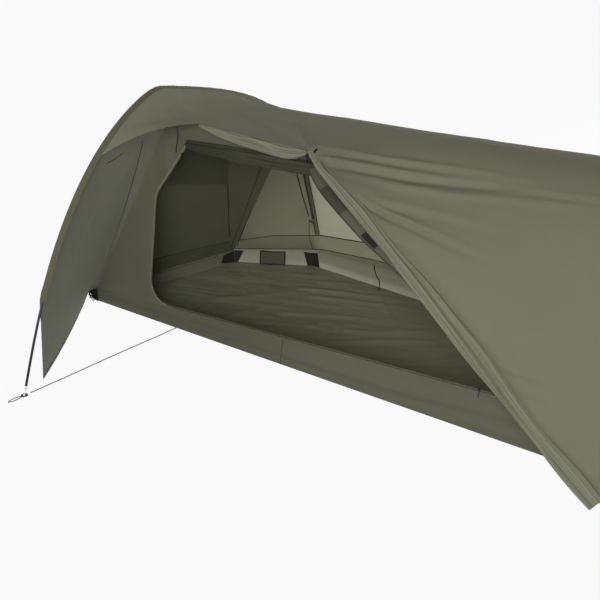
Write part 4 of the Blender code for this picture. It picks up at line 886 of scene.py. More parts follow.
def make_fly():
    """The five panels of the fly, with their hems and the lining beside the pole."""
    roof, back = roof_grids(roof_places(4), 73, 81)
    u, v = cut_of(roof)
    fade = edge_fade(roof, 0.03, 0.06)
    swells = (0.0016 * patchy(u, v, 7.0, 3) + 0.0014 * patchy(u * 0.22, v * 2.4, 8.0, 4)) * fade
    folds = ROOF_FOLD_DEPTH * folds_of(roof, ROOF_FOLDS, 1, 0) * np.maximum(fade, 0.5)
    roof = displaced(roof, swells + folds, ROOF_WAY)
    back = slackened(back, BACK_WAY, (0.0030, 5.0, 9), (0.0050, 0.25, 0, 1.8, 10))
    side, head, foot = (
        slackened(refined(grid, rows, columns), towards, (0.0030, scale, seed), (*drawn, seed + 10), margin)
        for grid, rows, columns, towards, scale, seed, drawn, margin in (
            (vestibule_grid(), 61, 97, SIDE_WAY, 4.0, 5, (0.0030, 1.8, 0, 0.3), 0.15),
            (head_end_grid(), 121, 65, HEAD_WAY, 5.0, 6, (0.0045, 1.6, 0.4, 0.3), 0.08),
            (foot_end_grid(), 121, 49, FOOT_WAY, 5.0, 8, (0.0045, 1.6, -0.4, 0.3), 0.08),
        ))
    cloth_piece("fly_roof_cloth", roof, "fly", "fly_roof")
    cloth_piece("fly_back_cloth", back, "fly back", "fly_back")
    obj = cloth_piece("fly_vestibule_cloth", side, "fly", "fly_vestibule_panel")
    pole = evenly(MAIN.points[:PEAK], 300)
    away = [np.linalg.norm(pole - np.array(face.center), axis=1).min() for face in obj.data.polygons]
    refinish(obj, ["lining"], np.array(away) < LINING_REACH)
    cloth_piece("fly_head_end_cloth", head, "fly", "fly_head_end")
    cloth_piece("fly_foot_end_cloth", foot, "fly", "fly_foot_end")
    hems = [edge_tape(*tape) for tape in (
        (roof, FINE_HEM, 0.0012, ROOF_WAY),
        (side, FINE_HEM, 0.0010, SIDE_WAY),
        (back[:, ::-1], WIDE_HEM, 0.0012, BACK_WAY),
        (head, WIDE_HEM, 0.0012, HEAD_WAY),
        (foot, WIDE_HEM, 0.0012, FOOT_WAY),
    )]
    tagged(joined("fly_hems", hems, "door"), "fly_cloth")
    tagged(joined("fly_head_seam", [edge_tape(side[:, ::-1], 0.007, 0.0014, SIDE_WAY)], "hem"), "fly_cloth")


def make_sleeve(arch, start, node):
    """A tunnel of doubled cloth: full over the pole, flat where it is sewn to the panels."""
    places = np.linspace(start, arch.last, (arch.last - start) * 10 + 1)
    points, ups = spline(arch.points, places), unit(spline(arch.ups, places))
    run = distances(points)
    s, x = run[:, None], np.concatenate([np.linspace(-1, 1, 17), np.linspace(1, -1, 17)[1:-1]])
    bulge = 0.0006 + 0.0066 * np.exp(-((x * SLEEVE_HALF_WIDTH / 0.0072) ** 4))
    pucker = 0.0005 * np.sin(s * 2 * pi / 0.021 + 3 * x) * (1 - abs(x)) + 0.0004 * np.sin(s * 97 + 5 * x)
    lift = (bulge + pucker * (abs(x) < 0.999)) * np.repeat((1, -1), (17, 15))
    grid = swept(points, arch.side[None], ups, x * (SLEEVE_HALF_WIDTH + 0.001), lift)
    uv = [(d, width) for d in run for width in distances(grid[0])]
    obj = made(f"{node}_cloth", grid, grid_faces(*grid.shape[:2], loop=True), "sleeve", uv)
    tagged(obj, "sleeve_cloth", node)


# Gathered doors


def gathered(name, node, slot, finish, line, half_widths, folds, seed, rest, twist=3.0):
    """Rolled cloth: an oval tube whose folds run along it and wander, resting on one side of a line."""
    rows, sides = 97, 72
    line, half_widths = spline(line, rows), spline(half_widths, rows)[:, None]
    along, side = squared(line, vec(0, -1, 0))
    run, angle = distances(line), 2 * pi * np.arange(sides) / sides
    s = run[:, None]
    phases = np.random.default_rng(seed).uniform(0, 2 * pi, 6)
    size = half_widths * (1 + folds * (
        0.55 * np.abs(np.sin(2.5 * angle + twist * s + phases[0])) ** 0.7
        + 0.25 * np.sin(7 * angle - 9 * s + phases[1])
        + 0.12 * np.sin(13 * angle + 22 * s + phases[2])
        + 0.10 * np.sin(3 * angle + 40 * s + phases[3])
        - 0.35
    ))
    x, z = ROLL_OVAL * size * np.cos(angle), size * np.sin(angle)
    loops = swept(0 * line, side, np.cross(side, along), x, z)
    rings = line[:, None] + loops - rest * (loops @ rest).max(axis=1)[:, None, None]
    uv = np.stack([np.repeat(s, sides, 1), cut_of(rings)[1]], -1)
    tagged(made(name, rings, tube_faces(rows, sides), finish, uv), slot, node)


def make_doors():
    """The fly's door bunched along its header, and the inner tent's door rolled under its own."""
    t = shares(13)
    sizes = np.interp(t, (0, 0.10, 0.29, 0.48, 0.67, 0.84, 0.94, 1),
                      (0.004, 0.0075, 0.0125, 0.0170, 0.0175, 0.0175, 0.0135, 0.0060))
    line = lerp(HEADER, TOGGLE, ROLL_END * t[:, None]) - UP * 0.0003
    gathered("fly_door_roll_cloth", "fly_door_roll", "fly_cloth", "door", line, sizes, FLY_ROLL_FOLDS, 4, UP,
             twist=9.0)
    sizes = 0.023 * (0.55 + 0.45 * np.sin(pi * (0.08 + 0.84 * t)))
    y, z = NEAR_Y - CLOTH - 0.0023, DOOR_TOP_Z + ZIP_WIDTH / 2
    line = between(vec(-DOOR_TOP_HEAD_X + 0.012, y, z), vec(DOOR_TOP_FOOT_X - 0.012, y, z), 13)
    # The rolled inner door takes the inner nylon in deep painted shade.
    gathered("inner_door_roll_cloth", "inner_door_roll", "inner_cloth", "inner deep shade", line, sizes,
             INNER_ROLL_FOLDS, 7, vec(0, 1, 0))


STRIP_OUTER = (0.023, 0.0355, 0.0335, 0.0315, 0.0285, 0.0265, 0.0245, 0.0275, 0.029, 0.030, 0.0315,
               0.0335, 0.034, 0.0325, 0.031, 0.0315, 0.033, 0.036, 0.036, 0.032, 0.026)
STRIP_INNER = (0.0005, 0.0125, 0.001, -0.0085, -0.0155, -0.0145, -0.0135, -0.017, -0.0225, -0.025, -0.0255,
               -0.0275, -0.0285, -0.021, -0.014, -0.0095, -0.0100, -0.0165, -0.021, -0.020, -0.016)
STRIP_TURN = radians(112)
FLAP_REACH = (0.030, 0.058, 0.066, 0.062, 0.057, 0.0515, 0.041, 0.033, 0.026)


def strip_frames(places):
    """Points along the door's edge, the ways across it, and the ways out of the cloth."""
    roof, _ = roof_grids(roof_places(1), 25, 3)
    edge, beside = roof[EYEBROW_COLUMNS + HEADER_COLUMNS:, (0, 3)].swapaxes(0, 1)
    heading = unit(edge[-1] - edge[0])
    normals = np.cross(beside - edge, heading)
    normals = normals * -np.sign(normals[:, 1:2])
    face = unit(np.stack([np.interp(places, shares(len(edge)), values) for values in normals.T], -1))
    points = lerp(edge[0], edge[-1], places[:, None])
    return points, unit(np.cross(heading, face)), face


def make_strip():
    """The gathered door below the toggle: long pleats that run down to the foot arch, over its own flap."""
    run = np.linspace(0.0, STRIP_END, 161)
    here, across, face = strip_frames(run)
    t, s = run[:, None], np.linspace(-1, 1, 73)
    outer, inner = (spline(sizes, run * EDGE_COLUMNS)[:, None] for sizes in (STRIP_OUTER, STRIP_INNER))
    turn, rest = s * STRIP_TURN, cos(STRIP_TURN)
    half, centre = (outer - inner) / 2, (outer + inner) / 2
    depth = (0.005 + 0.42 * half) * (0.5 + 0.5 * smoothstep(t / 0.06))
    x = centre + half * np.sin(turn)
    wander = 0.30 * np.sin(5 * t + 1) + 0.12 * np.sin(17 * t)
    full = np.maximum(np.cos(turn), 0) ** 0.5
    pleats = 0.20 * np.cos(2 * pi * (1.7 * s + wander)) + 0.09 * np.cos(2 * pi * (4.3 * s - 1.3 * t))
    z = depth * ((np.cos(turn) - rest) / (1 - rest) + full * pleats)
    split = smoothstep((t - 0.26) / 0.18)
    line = np.interp(t, (0.25, 0.35, 0.5, 0.6, 0.65, 0.7, 0.8, 1),
                     (-0.006, -0.006, -0.002, 0.001, 0.006, 0.015, 0.020, 0.012))
    z = z * (1 - 0.72 * split * np.exp(-(((x - line) / 0.0034) ** 2)))
    grid = swept(here, across, face, x, z + CLOTH + 0.0030)
    cloth_piece("fly_door_strip_cloth", grid, "door", "fly_door_strip", held="gathered")

    run, columns = np.linspace(0.04, 0.40, 61), 13
    here, across, face = strip_frames(run)
    x = np.linspace(FLAP_START, spline(FLAP_REACH, run * EDGE_COLUMNS), columns).T
    z = 0.0016 * np.sin(x * 160 + 9 * run[:, None]) - 0.10 * (x - FLAP_START)
    flap = swept(here, across, face, x, z)
    row = np.arange(60).repeat(columns - 1)
    # The flap is in painted shade, and rows 10 to 20 of it take the inner nylon in deep painted shade: a
    # painted shadow under the gathered door.
    refinish(cloth_piece("fly_door_flap_cloth", flap, "flap"), ["inner deep shade"], (row >= 10) & (row < 21))
    for name, grid, finish, slot in (
        ("fly_door_flap_hem", edge_tape(flap[:, ::-1], 0.005, 0.0012, ROOF_WAY), "seam", "fly_cloth"),
        ("fly_door_flap_edge", flap[9:12, 5:12] + vec(0, -0.0015, 0.001), "seam", "fly_cloth"),
        ("fly_door_flap_tab", flap[32:40, 5:11] + vec(0, -0.002, 0.001), "webbing", "webbing"),
    ):
        tagged(joined(name, [grid], finish), slot)


# The inner tent


def tub_height(x):
    return lerp(TUB_HEAD_HEIGHT, TUB_FOOT_HEIGHT, (x - HEAD_X) / FLOOR_LENGTH)


def head_top():
    arch = min(MAIN.points[PEAK:], key=lambda p: abs(p[1] - NEAR_Y))
    return vec(arch[0], NEAR_Y, arch[2] - INNER_HEAD_DROP)


def near_wall_top(count):
    start, t = head_top(), shares(count)
    drop = (start[2] - NEAR_WALL_HEIGHT) * np.maximum(0.0, 1 - t / 0.14) ** 1.5
    fall = (NEAR_WALL_HEIGHT - NEAR_WALL_FOOT_HEIGHT) * np.maximum(0.0, (t - 0.35) / 0.65)
    height = NEAR_WALL_HEIGHT - fall - NEAR_WALL_DIP * np.sin(pi * t) ** 4 + drop
    line = np.stack([lerp(start[0], FOOT_X - FOOT_WALL_INSET, t), np.full(count, NEAR_Y), height], -1)
    line[0] = start
    return line


def rounded(corners, radii, steps):
    """A closed outline with its corners rounded."""
    outline = []
    for i, (here, radius) in enumerate(zip(corners, radii)):
        back, ahead = unit(corners[i - 1] - here), unit(corners[(i + 1) % len(corners)] - here)
        half = np.arccos(np.clip(back @ ahead, -1, 1)) / 2
        centre = here + unit(back + ahead) * radius / sin(half)
        start, end = (here + way * radius / tan(half) - centre for way in (back, ahead))
        sweep, t = pi - 2 * half, shares(steps + 1)[:, None]
        outline.append(centre + (start * np.sin((1 - t) * sweep) + end * np.sin(t * sweep)) / sin(sweep))
    return np.concatenate(outline)


def moved_out(outline, distance):
    after = unit(np.roll(outline, -1, 0) - outline)
    out = after[:, ::-1] * (1, -1)
    normal = unit(out + np.roll(out, 1, 0))
    return outline + normal * distance / np.maximum(0.3, (normal * out).sum(1))[:, None]


def reach_of(outline, centre, direction):
    """How far a closed outline is from a place inside it, along a direction."""
    along, off = np.roll(outline, -1, 0) - outline, outline - centre
    cross = direction[0] * along[:, 1] - direction[1] * along[:, 0]
    cross = np.where(abs(cross) < 1e-12, np.nan, cross)
    r = (off[:, 0] * along[:, 1] - off[:, 1] * along[:, 0]) / cross
    s = (off[:, 0] * direction[1] - off[:, 1] * direction[0]) / cross
    return r[(r > 0) & (s >= -1e-9) & (s <= 1 + 1e-9)].min()


DOOR_CORNERS = np.array((
    (-DOOR_HEAD_X, tub_height(-DOOR_HEAD_X) + DOOR_SILL_RISE),
    (DOOR_FOOT_X, tub_height(DOOR_FOOT_X) + DOOR_SILL_RISE),
    (DOOR_FOOT_X, DOOR_SHOULDER_Z - 0.15),
    (DOOR_TOP_FOOT_X, DOOR_TOP_Z),
    (-DOOR_TOP_HEAD_X, DOOR_TOP_Z),
    (-DOOR_SHOULDER_X, DOOR_SHOULDER_Z),
))


def make_near_wall():
    """The wall round the door, as rows of spokes from the door's edge to the wall's, and the door's zip."""
    opening = rounded(DOOR_CORNERS, DOOR_RADII, 10)
    low = [(x, tub_height(end)) for x, end in ((HEAD_X + 0.002, HEAD_X), (FOOT_X - 0.002, FOOT_X))]
    outer = np.concatenate([low, near_wall_top(33)[::-1, (0, 2)]])
    centre = vec(*DOOR_MIDDLE)
    angles = set(np.linspace(-pi, pi, 240, endpoint=False))
    angles |= {float(np.arctan2(z, x)) for x, z in np.concatenate([opening, outer]) - centre}
    rows = []
    for angle in sorted(angles):
        way = vec(cos(angle), sin(angle))
        near, far = (reach_of(outline, centre, way) for outline in (opening, outer))
        rows.append(centre + way * between(near, far, 9)[:, None])
    rows = np.array(rows + rows[:1])
    x, z = rows[..., 0], rows[..., 1]
    widths = np.linalg.norm(rows[:, -1] - rows[:, 0], axis=1)[:, None]
    fade = shares(9) * (1 - shares(9)) * 4 * smoothstep((widths - 0.02) / 0.12)
    bow = (0.0035 * patchy(x, z, 7.0, 12) + 0.0040 * patchy(x * 2.4, z * 0.35, 8.0, 13)) * fade
    grid = np.stack([x, NEAR_Y - 0.0008 + bow, z], -1)
    obj = made("inner_near_cloth", grid, grid_faces(*grid.shape[:2]), "inner", rows)
    tagged(obj, "inner_cloth", "inner_near_wall")

    def ring(off, stand):
        line = moved_out(opening, off)
        line = np.concatenate([line, line[:1]])
        return np.insert(line, 1, NEAR_Y - stand, axis=1)

    places = (-0.0005, 0.0030), (0.0015, 0.0036), (0.0040, 0.0030), (ZIP_WIDTH, 0.0022)
    loops = [ring(*place) for place in places]
    tape = joined("inner_door_zip_tape", [np.array(loops).swapaxes(0, 1)], "zip")
    # Painted shade: along the sill, the zip tape darkens in two steps towards the foot.
    px, py = seen([face.center for face in tape.data.polygons])
    shaded = 1 * (px > HALF_SHADE_FROM) + (px > DEEP_SHADE_FROM)
    refinish(tape, ["zip mid", "zip deep shade"], (py > SHADED_TAPE_BELOW) * shaded)
    tagged(tape, "webbing", "inner_door_zip")
    tube("inner_door_zip_coil", ring(0.0012, 0.0038), 0.0013, "coil")


def inner_grids():
    """The head wall, the far wall and the foot wall, as the solids have them."""
    near_head, near_foot, far_foot, at_arch, far_head = (
        vec(x, y, tub_height(x) - INNER_SET_IN) for x, y in FLOOR_PLAN)
    inward = vec(0, INNER_SET_IN, 0)
    top_near, seam_end = head_top() + inward, INNER_TOP[SEAM_END]
    under = INNER_TOP[PEAK:SEAM_END + 1]
    over = evenly([top_near, *under[under[:, 1] > NEAR_Y + 0.03]], 9)
    left, right = between(near_head + inward, top_near, 9), between(far_head, seam_end, 9)
    over[0], over[-1] = left[-1], right[-1]
    head = coons(between(left[0], right[0], 9), over, left, right)

    apart = CLOTH + SEAM_GAP
    seam = np.concatenate([right, over[-2::-1]]) + MAIN.side * apart
    inside = INNER_TOP[MAIN.last - 1:PEAK:-1]
    inside = inside[(inside[:, 2] > at_arch[2] + 0.03) & (inside[:, 2] < seam_end[2])]
    arch_line = np.concatenate([evenly([at_arch, *inside, seam_end], 9), over[-2::-1]])
    steps = len(arch_line)
    arch_line = arch_line + MAIN.side * INNER_ARCH_GAP * np.minimum(1, np.arange(steps) / 3)[:, None]
    near_top = near_wall_top(65)
    foot_in = FOOT.under(INNER_RIDGE_DROP)[FOOT.last - 1:np.argmax(FOOT.points[:, 2]):-1]
    foot_in = foot_in[(foot_in[:, 2] > far_foot[2] + 0.03) & (foot_in[:, 1] > NEAR_Y + 0.10)]
    foot_in[:, 0] = FOOT_X - FOOT_WALL_INSET * (foot_in[:, 2] - far_foot[2]) / (CREST_HEIGHT - far_foot[2])
    foot_line = evenly([far_foot, *foot_in, near_top[-1] + inward], steps)
    t = shares(steps)[:, None]
    wall = [seam, lerp(seam, arch_line, 0.5), arch_line]
    for u in shares(9)[1:]:
        line = lerp(arch_line, foot_line, u)
        x = lerp(arch_line[-1][0], near_top[-1][0], u)
        high = near_top[np.argmin(abs(near_top[:, 0] - x))] + inward
        ends = lerp(lerp(at_arch, far_foot, u) - line[0], high - line[-1], t)
        wall.append(line + ends - UP * INNER_RIDGE_SAG * 4 * u * (1 - u) * np.sin(pi * t))

    beyond = vec(apart, 0, 0)
    foot_top = vec(FOOT_X - FOOT_WALL_INSET, NEAR_Y, NEAR_WALL_FOOT_HEIGHT) + inward + beyond
    foot = between(lerp(near_foot + inward, foot_top, 0.97 * t), wall[-1] + beyond * t, 6)
    return head, np.array(wall), foot


FAR_WALL_FOLDS = (
    (((238, 236), (262, 221), (287, 206)), 1.8, 0.0040),
    (((240, 240), (272, 229), (302, 222)), 1.8, 0.0035),
    (((236, 232), (255, 212), (272, 195)), 1.8, -0.0035),
    (((322, 215), (335, 212), (350, 213)), 1.6, 0.0035),
    (((322, 228), (335, 232), (352, 238)), 1.6, 0.0035),
    (((300, 226), (282, 231), (262, 236)), 1.6, -0.0030),
)


def make_inner():
    """The inner tent's walls, all but the near one."""
    head, wall, foot = inner_grids()
    head = slackened(refined(head, 65, 65), (1, 0, 0), (0.0025, 6.0, 21))
    far = np.concatenate([refined(wall[:3], 17, 97)[:-1], refined(wall[2:], 97, 97)])
    folds = FAR_FOLD_DEPTH * folds_of(far, FAR_WALL_FOLDS, 1, 0)
    far = slackened(far, (0, -1, 0), (0.0022, 6.0, 22), folds=folds)
    foot = refined(foot, 33, 81)
    # The head wall takes the inner nylon in painted shade.
    cloth_piece("inner_head_cloth", head, "inner shade", "inner_head_wall", slot="inner_cloth")
    # The far wall takes the inner nylon with painted light passing through.
    cloth_piece("inner_far_cloth", far, "inner far", "inner_far_wall", slot="inner_cloth")
    cloth_piece("inner_foot_cloth", foot, "inner", "inner_foot_wall", slot="inner_cloth")


FLOOR_FOLDS = (
    (((280, 313.4), (330, 316), (380, 319.5), (423, 321.5)), 1.7, 0.0055),
    (((280, 317), (330, 320), (380, 324)), 2.2, -0.0035),
    (((262, 322), (300, 326), (331, 328.8), (347, 325.5)), 1.6, 0.0055),
    (((316.7, 343.9), (345, 342.6), (371.8, 341.4), (449.4, 341.4)), 1.7, 0.0065),
    (((320, 347.5), (350, 346.3), (400, 345), (451, 345)), 1.7, -0.0050),
    (((300, 288.8), (340, 293), (380, 298), (423, 303)), 1.4, 0.0050),
    (((310, 297), (350, 301), (427, 311)), 1.5, 0.0050),
    (((340, 331), (380, 333), (430, 331)), 1.6, 0.0045),
    (((406, 364), (430, 362), (463.7, 357.5)), 1.6, 0.0050),
    (((321, 331.6), (332, 334), (347, 327.5)), 1.4, -0.0045),
    (((318, 338), (328, 341), (338, 338)), 1.4, 0.0045),
    (((215, 300), (260, 296), (300, 292)), 2.2, 0.0040),
    (((225, 318), (262, 308), (296, 303)), 2.0, 0.0040),
    (((300, 330), (325, 322), (345, 330), (372, 336)), 3.0, 0.004),
    (((315, 318), (330, 345), (352, 352)), 2.5, -0.003),
    (((236, 262), (262, 285), (300, 305)), 3.0, 0.003),
    (((380, 300), (400, 330), (425, 350)), 3.0, 0.003),
)


def slack(side, s, t):
    """How far a tub wall stands in from its plane, s of the way up and t along."""
    if side:
        return 0.0016 * np.sin(pi * s) * np.sin(23 * t + side)
    roll = np.sin(2 * pi * (2.0 * s + 0.30 * np.sin(3.1 * t + 0.6) + 0.12 * np.sin(13 * t)))
    ends = smoothstep(np.minimum(t, 1 - t) / 0.05)
    swell = np.sin(pi * np.minimum(1.0, s / 0.88))
    return -(0.0070 * swell + 0.0045 * roll * swell ** 0.7) * ends


def make_floor():
    """The groundsheet's tub: a slack floor and low walls, cut from one coated cloth, with painted shade on
    three of the walls and painted light on the two far ones.
    """
    a, b, c, d, e = CORNERS
    floor = coons(evenly([a, b], 241), evenly([e, d, c], 241), evenly([a, e], 91), evenly([b, c], 91))
    u, v = cut_of(floor)
    swell = 0.0026 * patchy(u, v, 5.0, 31, 4) + 0.0030 * patchy(u * 0.6, (v - 0.35 * u) * 3.4, 7.0, 33)
    swell = (swell + folds_of(floor, FLOOR_FOLDS, 1, 0.2) + 0.0012) * edge_fade(floor, 0.02, 0.04)
    floor[..., 2] = 0.0009 + np.maximum(0, swell)
    grids = [floor]
    for i, (start, end) in enumerate(zip(CORNERS, CORNERS[1:] + CORNERS[:1])):
        t = shares(max(9, int(np.linalg.norm(end - start) / 0.02)))[:, None]
        s = shares(21 if i == 0 else 9)
        base = lerp(start, end, t)[:, None]
        inward = unit(np.cross(UP, end - start)) * (0.0008 + slack(i, s, t))[..., None]
        grids.append(base + inward + UP * (tub_height(base[..., 0]) * s)[..., None])
    CLOTHS.update(zip(("floor", "tub_near", "tub_end", "tub_foot", "tub_arch", "tub_head"), grids))
    obj = joined("groundsheet_cloth", grids, "floor")
    faces = [(grid.shape[0] - 1) * (grid.shape[1] - 1) for grid in grids]
    # Painted shade on the near, foot-end and head walls, painted light on the two far walls.
    refinish(obj, ["tub", "tub painted light"], np.repeat((0, 1, 1, 2, 2, 1), faces))
    tagged(obj, "groundsheet_cloth", "groundsheet_tub")


# Seams and second layers

BAND_TOP = ((236, 240.2), (255, 238), (272.4, 235.5), (320.7, 235.2), (364, 242.4), (388, 249),
            (451.9, 263.4), (508.8, 276.2), (571.4, 290.3), (640.6, 306), (712, 322.5))
BAND_FOOT = ((236, 248.4), (285, 248.4), (321, 248.8), (376, 260), (393, 264.6), (451.9, 279.4),
             (508.8, 293.3), (571.4, 308.7), (640.6, 325.7), (714, 344))
TUB_EDGE, TUB_MIDDLE = (
    [(x, y + down + spread * (x - 236)) for x, y in BAND_FOOT] for down, spread in ((1.5, 0.008), (5, 0.016)))
HEAD_BAND = ((152, 259.4), (175, 253.5), (205, 246.5), (232, 241))
ARCH_BAND = (((302.4, 167), (309.3, 200), (316.6, 236)), ((306.6, 167), (313.4, 200), (320.2, 236)))


def make_seams():
    """Tapes, bindings and lining layers that show on the cloths; some of the layers carry painted shade and
    some painted light.
    """
    side, head, far, tub_head, tub_near = (CLOTHS[name] for name in (
        "fly_vestibule_cloth", "inner_head_cloth", "inner_far_cloth", "tub_head", "tub_near"))
    for name, finish, slot, grids in (
        ("fly_side_seams_and_crease_shade", "hem", "fly_cloth", [
            seam(side, ((144.8, 141.2), (138.4, 173), (127.6, 202), (114.8, 237), (102, 274), (95, 292)),
                 0.0055, 0.0035),
            seam(side, ((117, 261), (110, 271), (104.6, 279)), 0.004),
            # A short dark line in the hem tape's colour: painted shade of a crease in the panel.
            seam(side, ((106, 164), (115, 158.5), (123.7, 152.7)), 0.004),
        ]),
        # A darker panel over the head wall's upper part, with a wide tape near its lower edge.
        ("inner_head_dark_panel", "dark head panel", "inner_cloth", [
            panel(head, ((168, 184), (228, 184)), ((184, 148), (228, 151)), 0.0022),
            seam(head, ((190, 175.5), (200, 178.5), (212, 176)), 0.010, 0.004),
        ]),
        # A band along the head wall's foot, in the same painted shade as the wall.
        ("inner_lower_band", "inner shade", "inner_cloth", [
            panel(head, HEAD_BAND, ((152, 273), (233, 250)), 0.0020),
        ]),
        ("inner_far_band", "band", "inner_cloth", [panel(far, BAND_TOP, BAND_FOOT, 0.0020, count=190)]),
        # Layers along the far wall's foot, in the tub's nylon with painted light.
        ("inner_far_foot", "tub painted light", "groundsheet_cloth", [
            panel(far, BAND_FOOT, TUB_EDGE, 0.0016, count=190),
            panel(far, TUB_EDGE, TUB_MIDDLE, 0.0016, count=190),
        ]),
        # A strip along the arch on the far wall, in painted shade: the shadow of the fly's pole sleeve behind
        # the wall.
        ("inner_arch_sleeve_shadow", "inner shade", "inner_cloth", [panel(far, *ARCH_BAND, 0.0030)]),
        ("inner_seams", "seam", "inner_cloth", [
            seam(head, ((226.3, 150), (227.8, 195), (229.5, 240)), 0.0065),
            seam(head, HEAD_BAND, 0.005, 0.004),
            seam(head, ((231, 246), (243, 216), (250.5, 195), (262, 163)), 0.006, 0.003),
            seam(far, ((237, 246), (248.5, 216), (257, 195), (268, 165)), 0.006, 0.003),
            seam(far, BAND_TOP, 0.005, 0.004, count=240),
            seam(far, BAND_FOOT, 0.005, 0.004, count=240),
            seam(far, ARCH_BAND[0], 0.010, 0.0050),
            seam(far, ARCH_BAND[1], 0.005, 0.0050),
            seam(far, ((295.8, 170), (303, 197), (309.4, 218)), 0.006, 0.003),
        ]),
        ("corner_patch_side", "webbing", "webbing", [
            panel(tub_head, ((223, 255.5), (234, 250.5)), ((221, 263.5), (234, 262.5)), 0.002, count=12),
        ]),
        ("groundsheet_seams", "hem", "groundsheet_cloth", [
            seam(tub_head, ((153, 274.5), (190, 264), (221, 255.5)), 0.004, 0.002),
            seam(tub_near, ((283, 338), (281.5, 352), (280.3, 365)), 0.004, 0.0016),
        ]),
    ):
        tagged(joined(name, grids, finish), slot)
    line, facing = over_cloth(far, ((309.6, 219), (309.2, 228), (309.4, 236), (311.2, 243), (313.6, 249)), 24)
    line = line + facing * 0.006
    corded(tube("inner_arch_cord", line, 0.0012, "cord"))
    line, facing = over_cloth(far, ((309, 219.6), (311, 221.4), (314, 221.8)), 9)
    tube("inner_arch_hook", line + facing * 0.005, 0.0022, "plastic", sides=6)
    line, facing = over_cloth(CLOTHS["tub_foot"],
                              ((374.8, 264), (375.4, 270), (377.4, 276), (380.4, 281), (380, 285)), 10)
    more, _ = over_cloth(CLOTHS["floor"], ((379.4, 288.6), (378.4, 291)), 3)
    line = spline(np.concatenate([line + facing * 0.005, more + UP * 0.004]), 31)
    corded(tube("inner_floor_strap", line, 0.0030, "cord", flat=0.5))


# Straps and small trim


def level(base, out, x, y, z):
    """Points from a base on the ground: x along a level direction, y across it and z up."""
    return base * (1, 1, 0) + out * x[:, None] + np.cross(UP, out) * y[:, None] + UP * z


def make_straps():
    """Eyelet tabs with grommets, the straps along the ground and the peg loop."""
    turn = np.linspace(0, 2 * pi, 33)
    angle = turn[1:] - pi / 32
    x, y = EYELET_RADIUS * np.cos(angle), EYELET_RADIUS * np.sin(angle)
    for label, foot in (("main_near", MAIN.feet[0]), ("main_far", MAIN.feet[1]),
                        ("foot_near", FOOT.feet[0]), ("foot_far", FOOT.feet[1])):
        node = f"eyelet_{label}"
        out = (vec(*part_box(node)[0]) + vec(*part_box(node)[1])) / 2 - foot
        out[2] = 0
        reach = max(0.012, np.linalg.norm(out) * 2)
        out = unit(out) if np.linalg.norm(out) > 1e-6 else vec(0, 1, 0)
        tongue = (x > 0) & (abs(y) <= EYELET_RADIUS * 0.66)
        rim = np.where(tongue, np.maximum(x, reach * 0.85), x), y
        hole = EYELET_HOLE * 1.15 * np.cos(angle), EYELET_HOLE * 1.15 * np.sin(angle)
        loops = (rim, 0.0004), (rim, 0.0024), (hole, 0.0024), (hole, 0.0004), (rim, 0.0004)
        points = np.concatenate([level(foot, out, *loop, z) for loop, z in loops])
        faces = grid_faces(len(loops), 32, loop=True)
        tab = made(f"{node}_tab", points, faces, "webbing", points[:, :2], smooth_angle=0.6)
        tagged(tab, "webbing", node)
        ring = level(foot, out, 0.0052 * np.cos(turn), 0.0052 * np.sin(turn), 0.0027)
        tube(f"{node}_grommet", ring, 0.0011, "bare", sides=6)
    for label, arch in (("main", MAIN), ("foot", FOOT)):
        node = f"ground_strap_{label}"
        low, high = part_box(node)
        start = vec(arch.feet[0][0], low[1], 0.0008)
        end = vec(max(high[0], low[0], key=lambda edge: abs(edge - start[0])), high[1], 0.0008)
        if abs(end[0] - start[0]) < GROUND_STRAP_WIDTH:
            end[0] = start[0]
        across, t = unit(np.cross(end - start, UP)), shares(41)[:, None]
        line = lerp(start, end, t) + across * 0.0012 * np.sin(9 * t)
        strap = ribbon(f"{node}_tape", line, across, GROUND_STRAP_WIDTH * 0.5, 0.0012, "webbing")
        tagged(corded(strap), "webbing", node)
    foot, t, half = MAIN.feet[0], np.linspace(0, 2 * pi, 49), PEG_LOOP_LENGTH / 2
    out = -unit(vec(ARCH_X - foot[0], NEAR_Y - foot[1], 0))
    loop = level(foot + out * (EYELET_RADIUS * 0.8), out, half - half * 0.97 * np.cos(t),
                 (PEG_LOOP_WIDTH / 2 - 0.001) * np.sin(t), 0.0016)
    tagged(tube("peg_loop_cord", loop, 0.0014, "cord"), "webbing", "peg_loop_main_near")


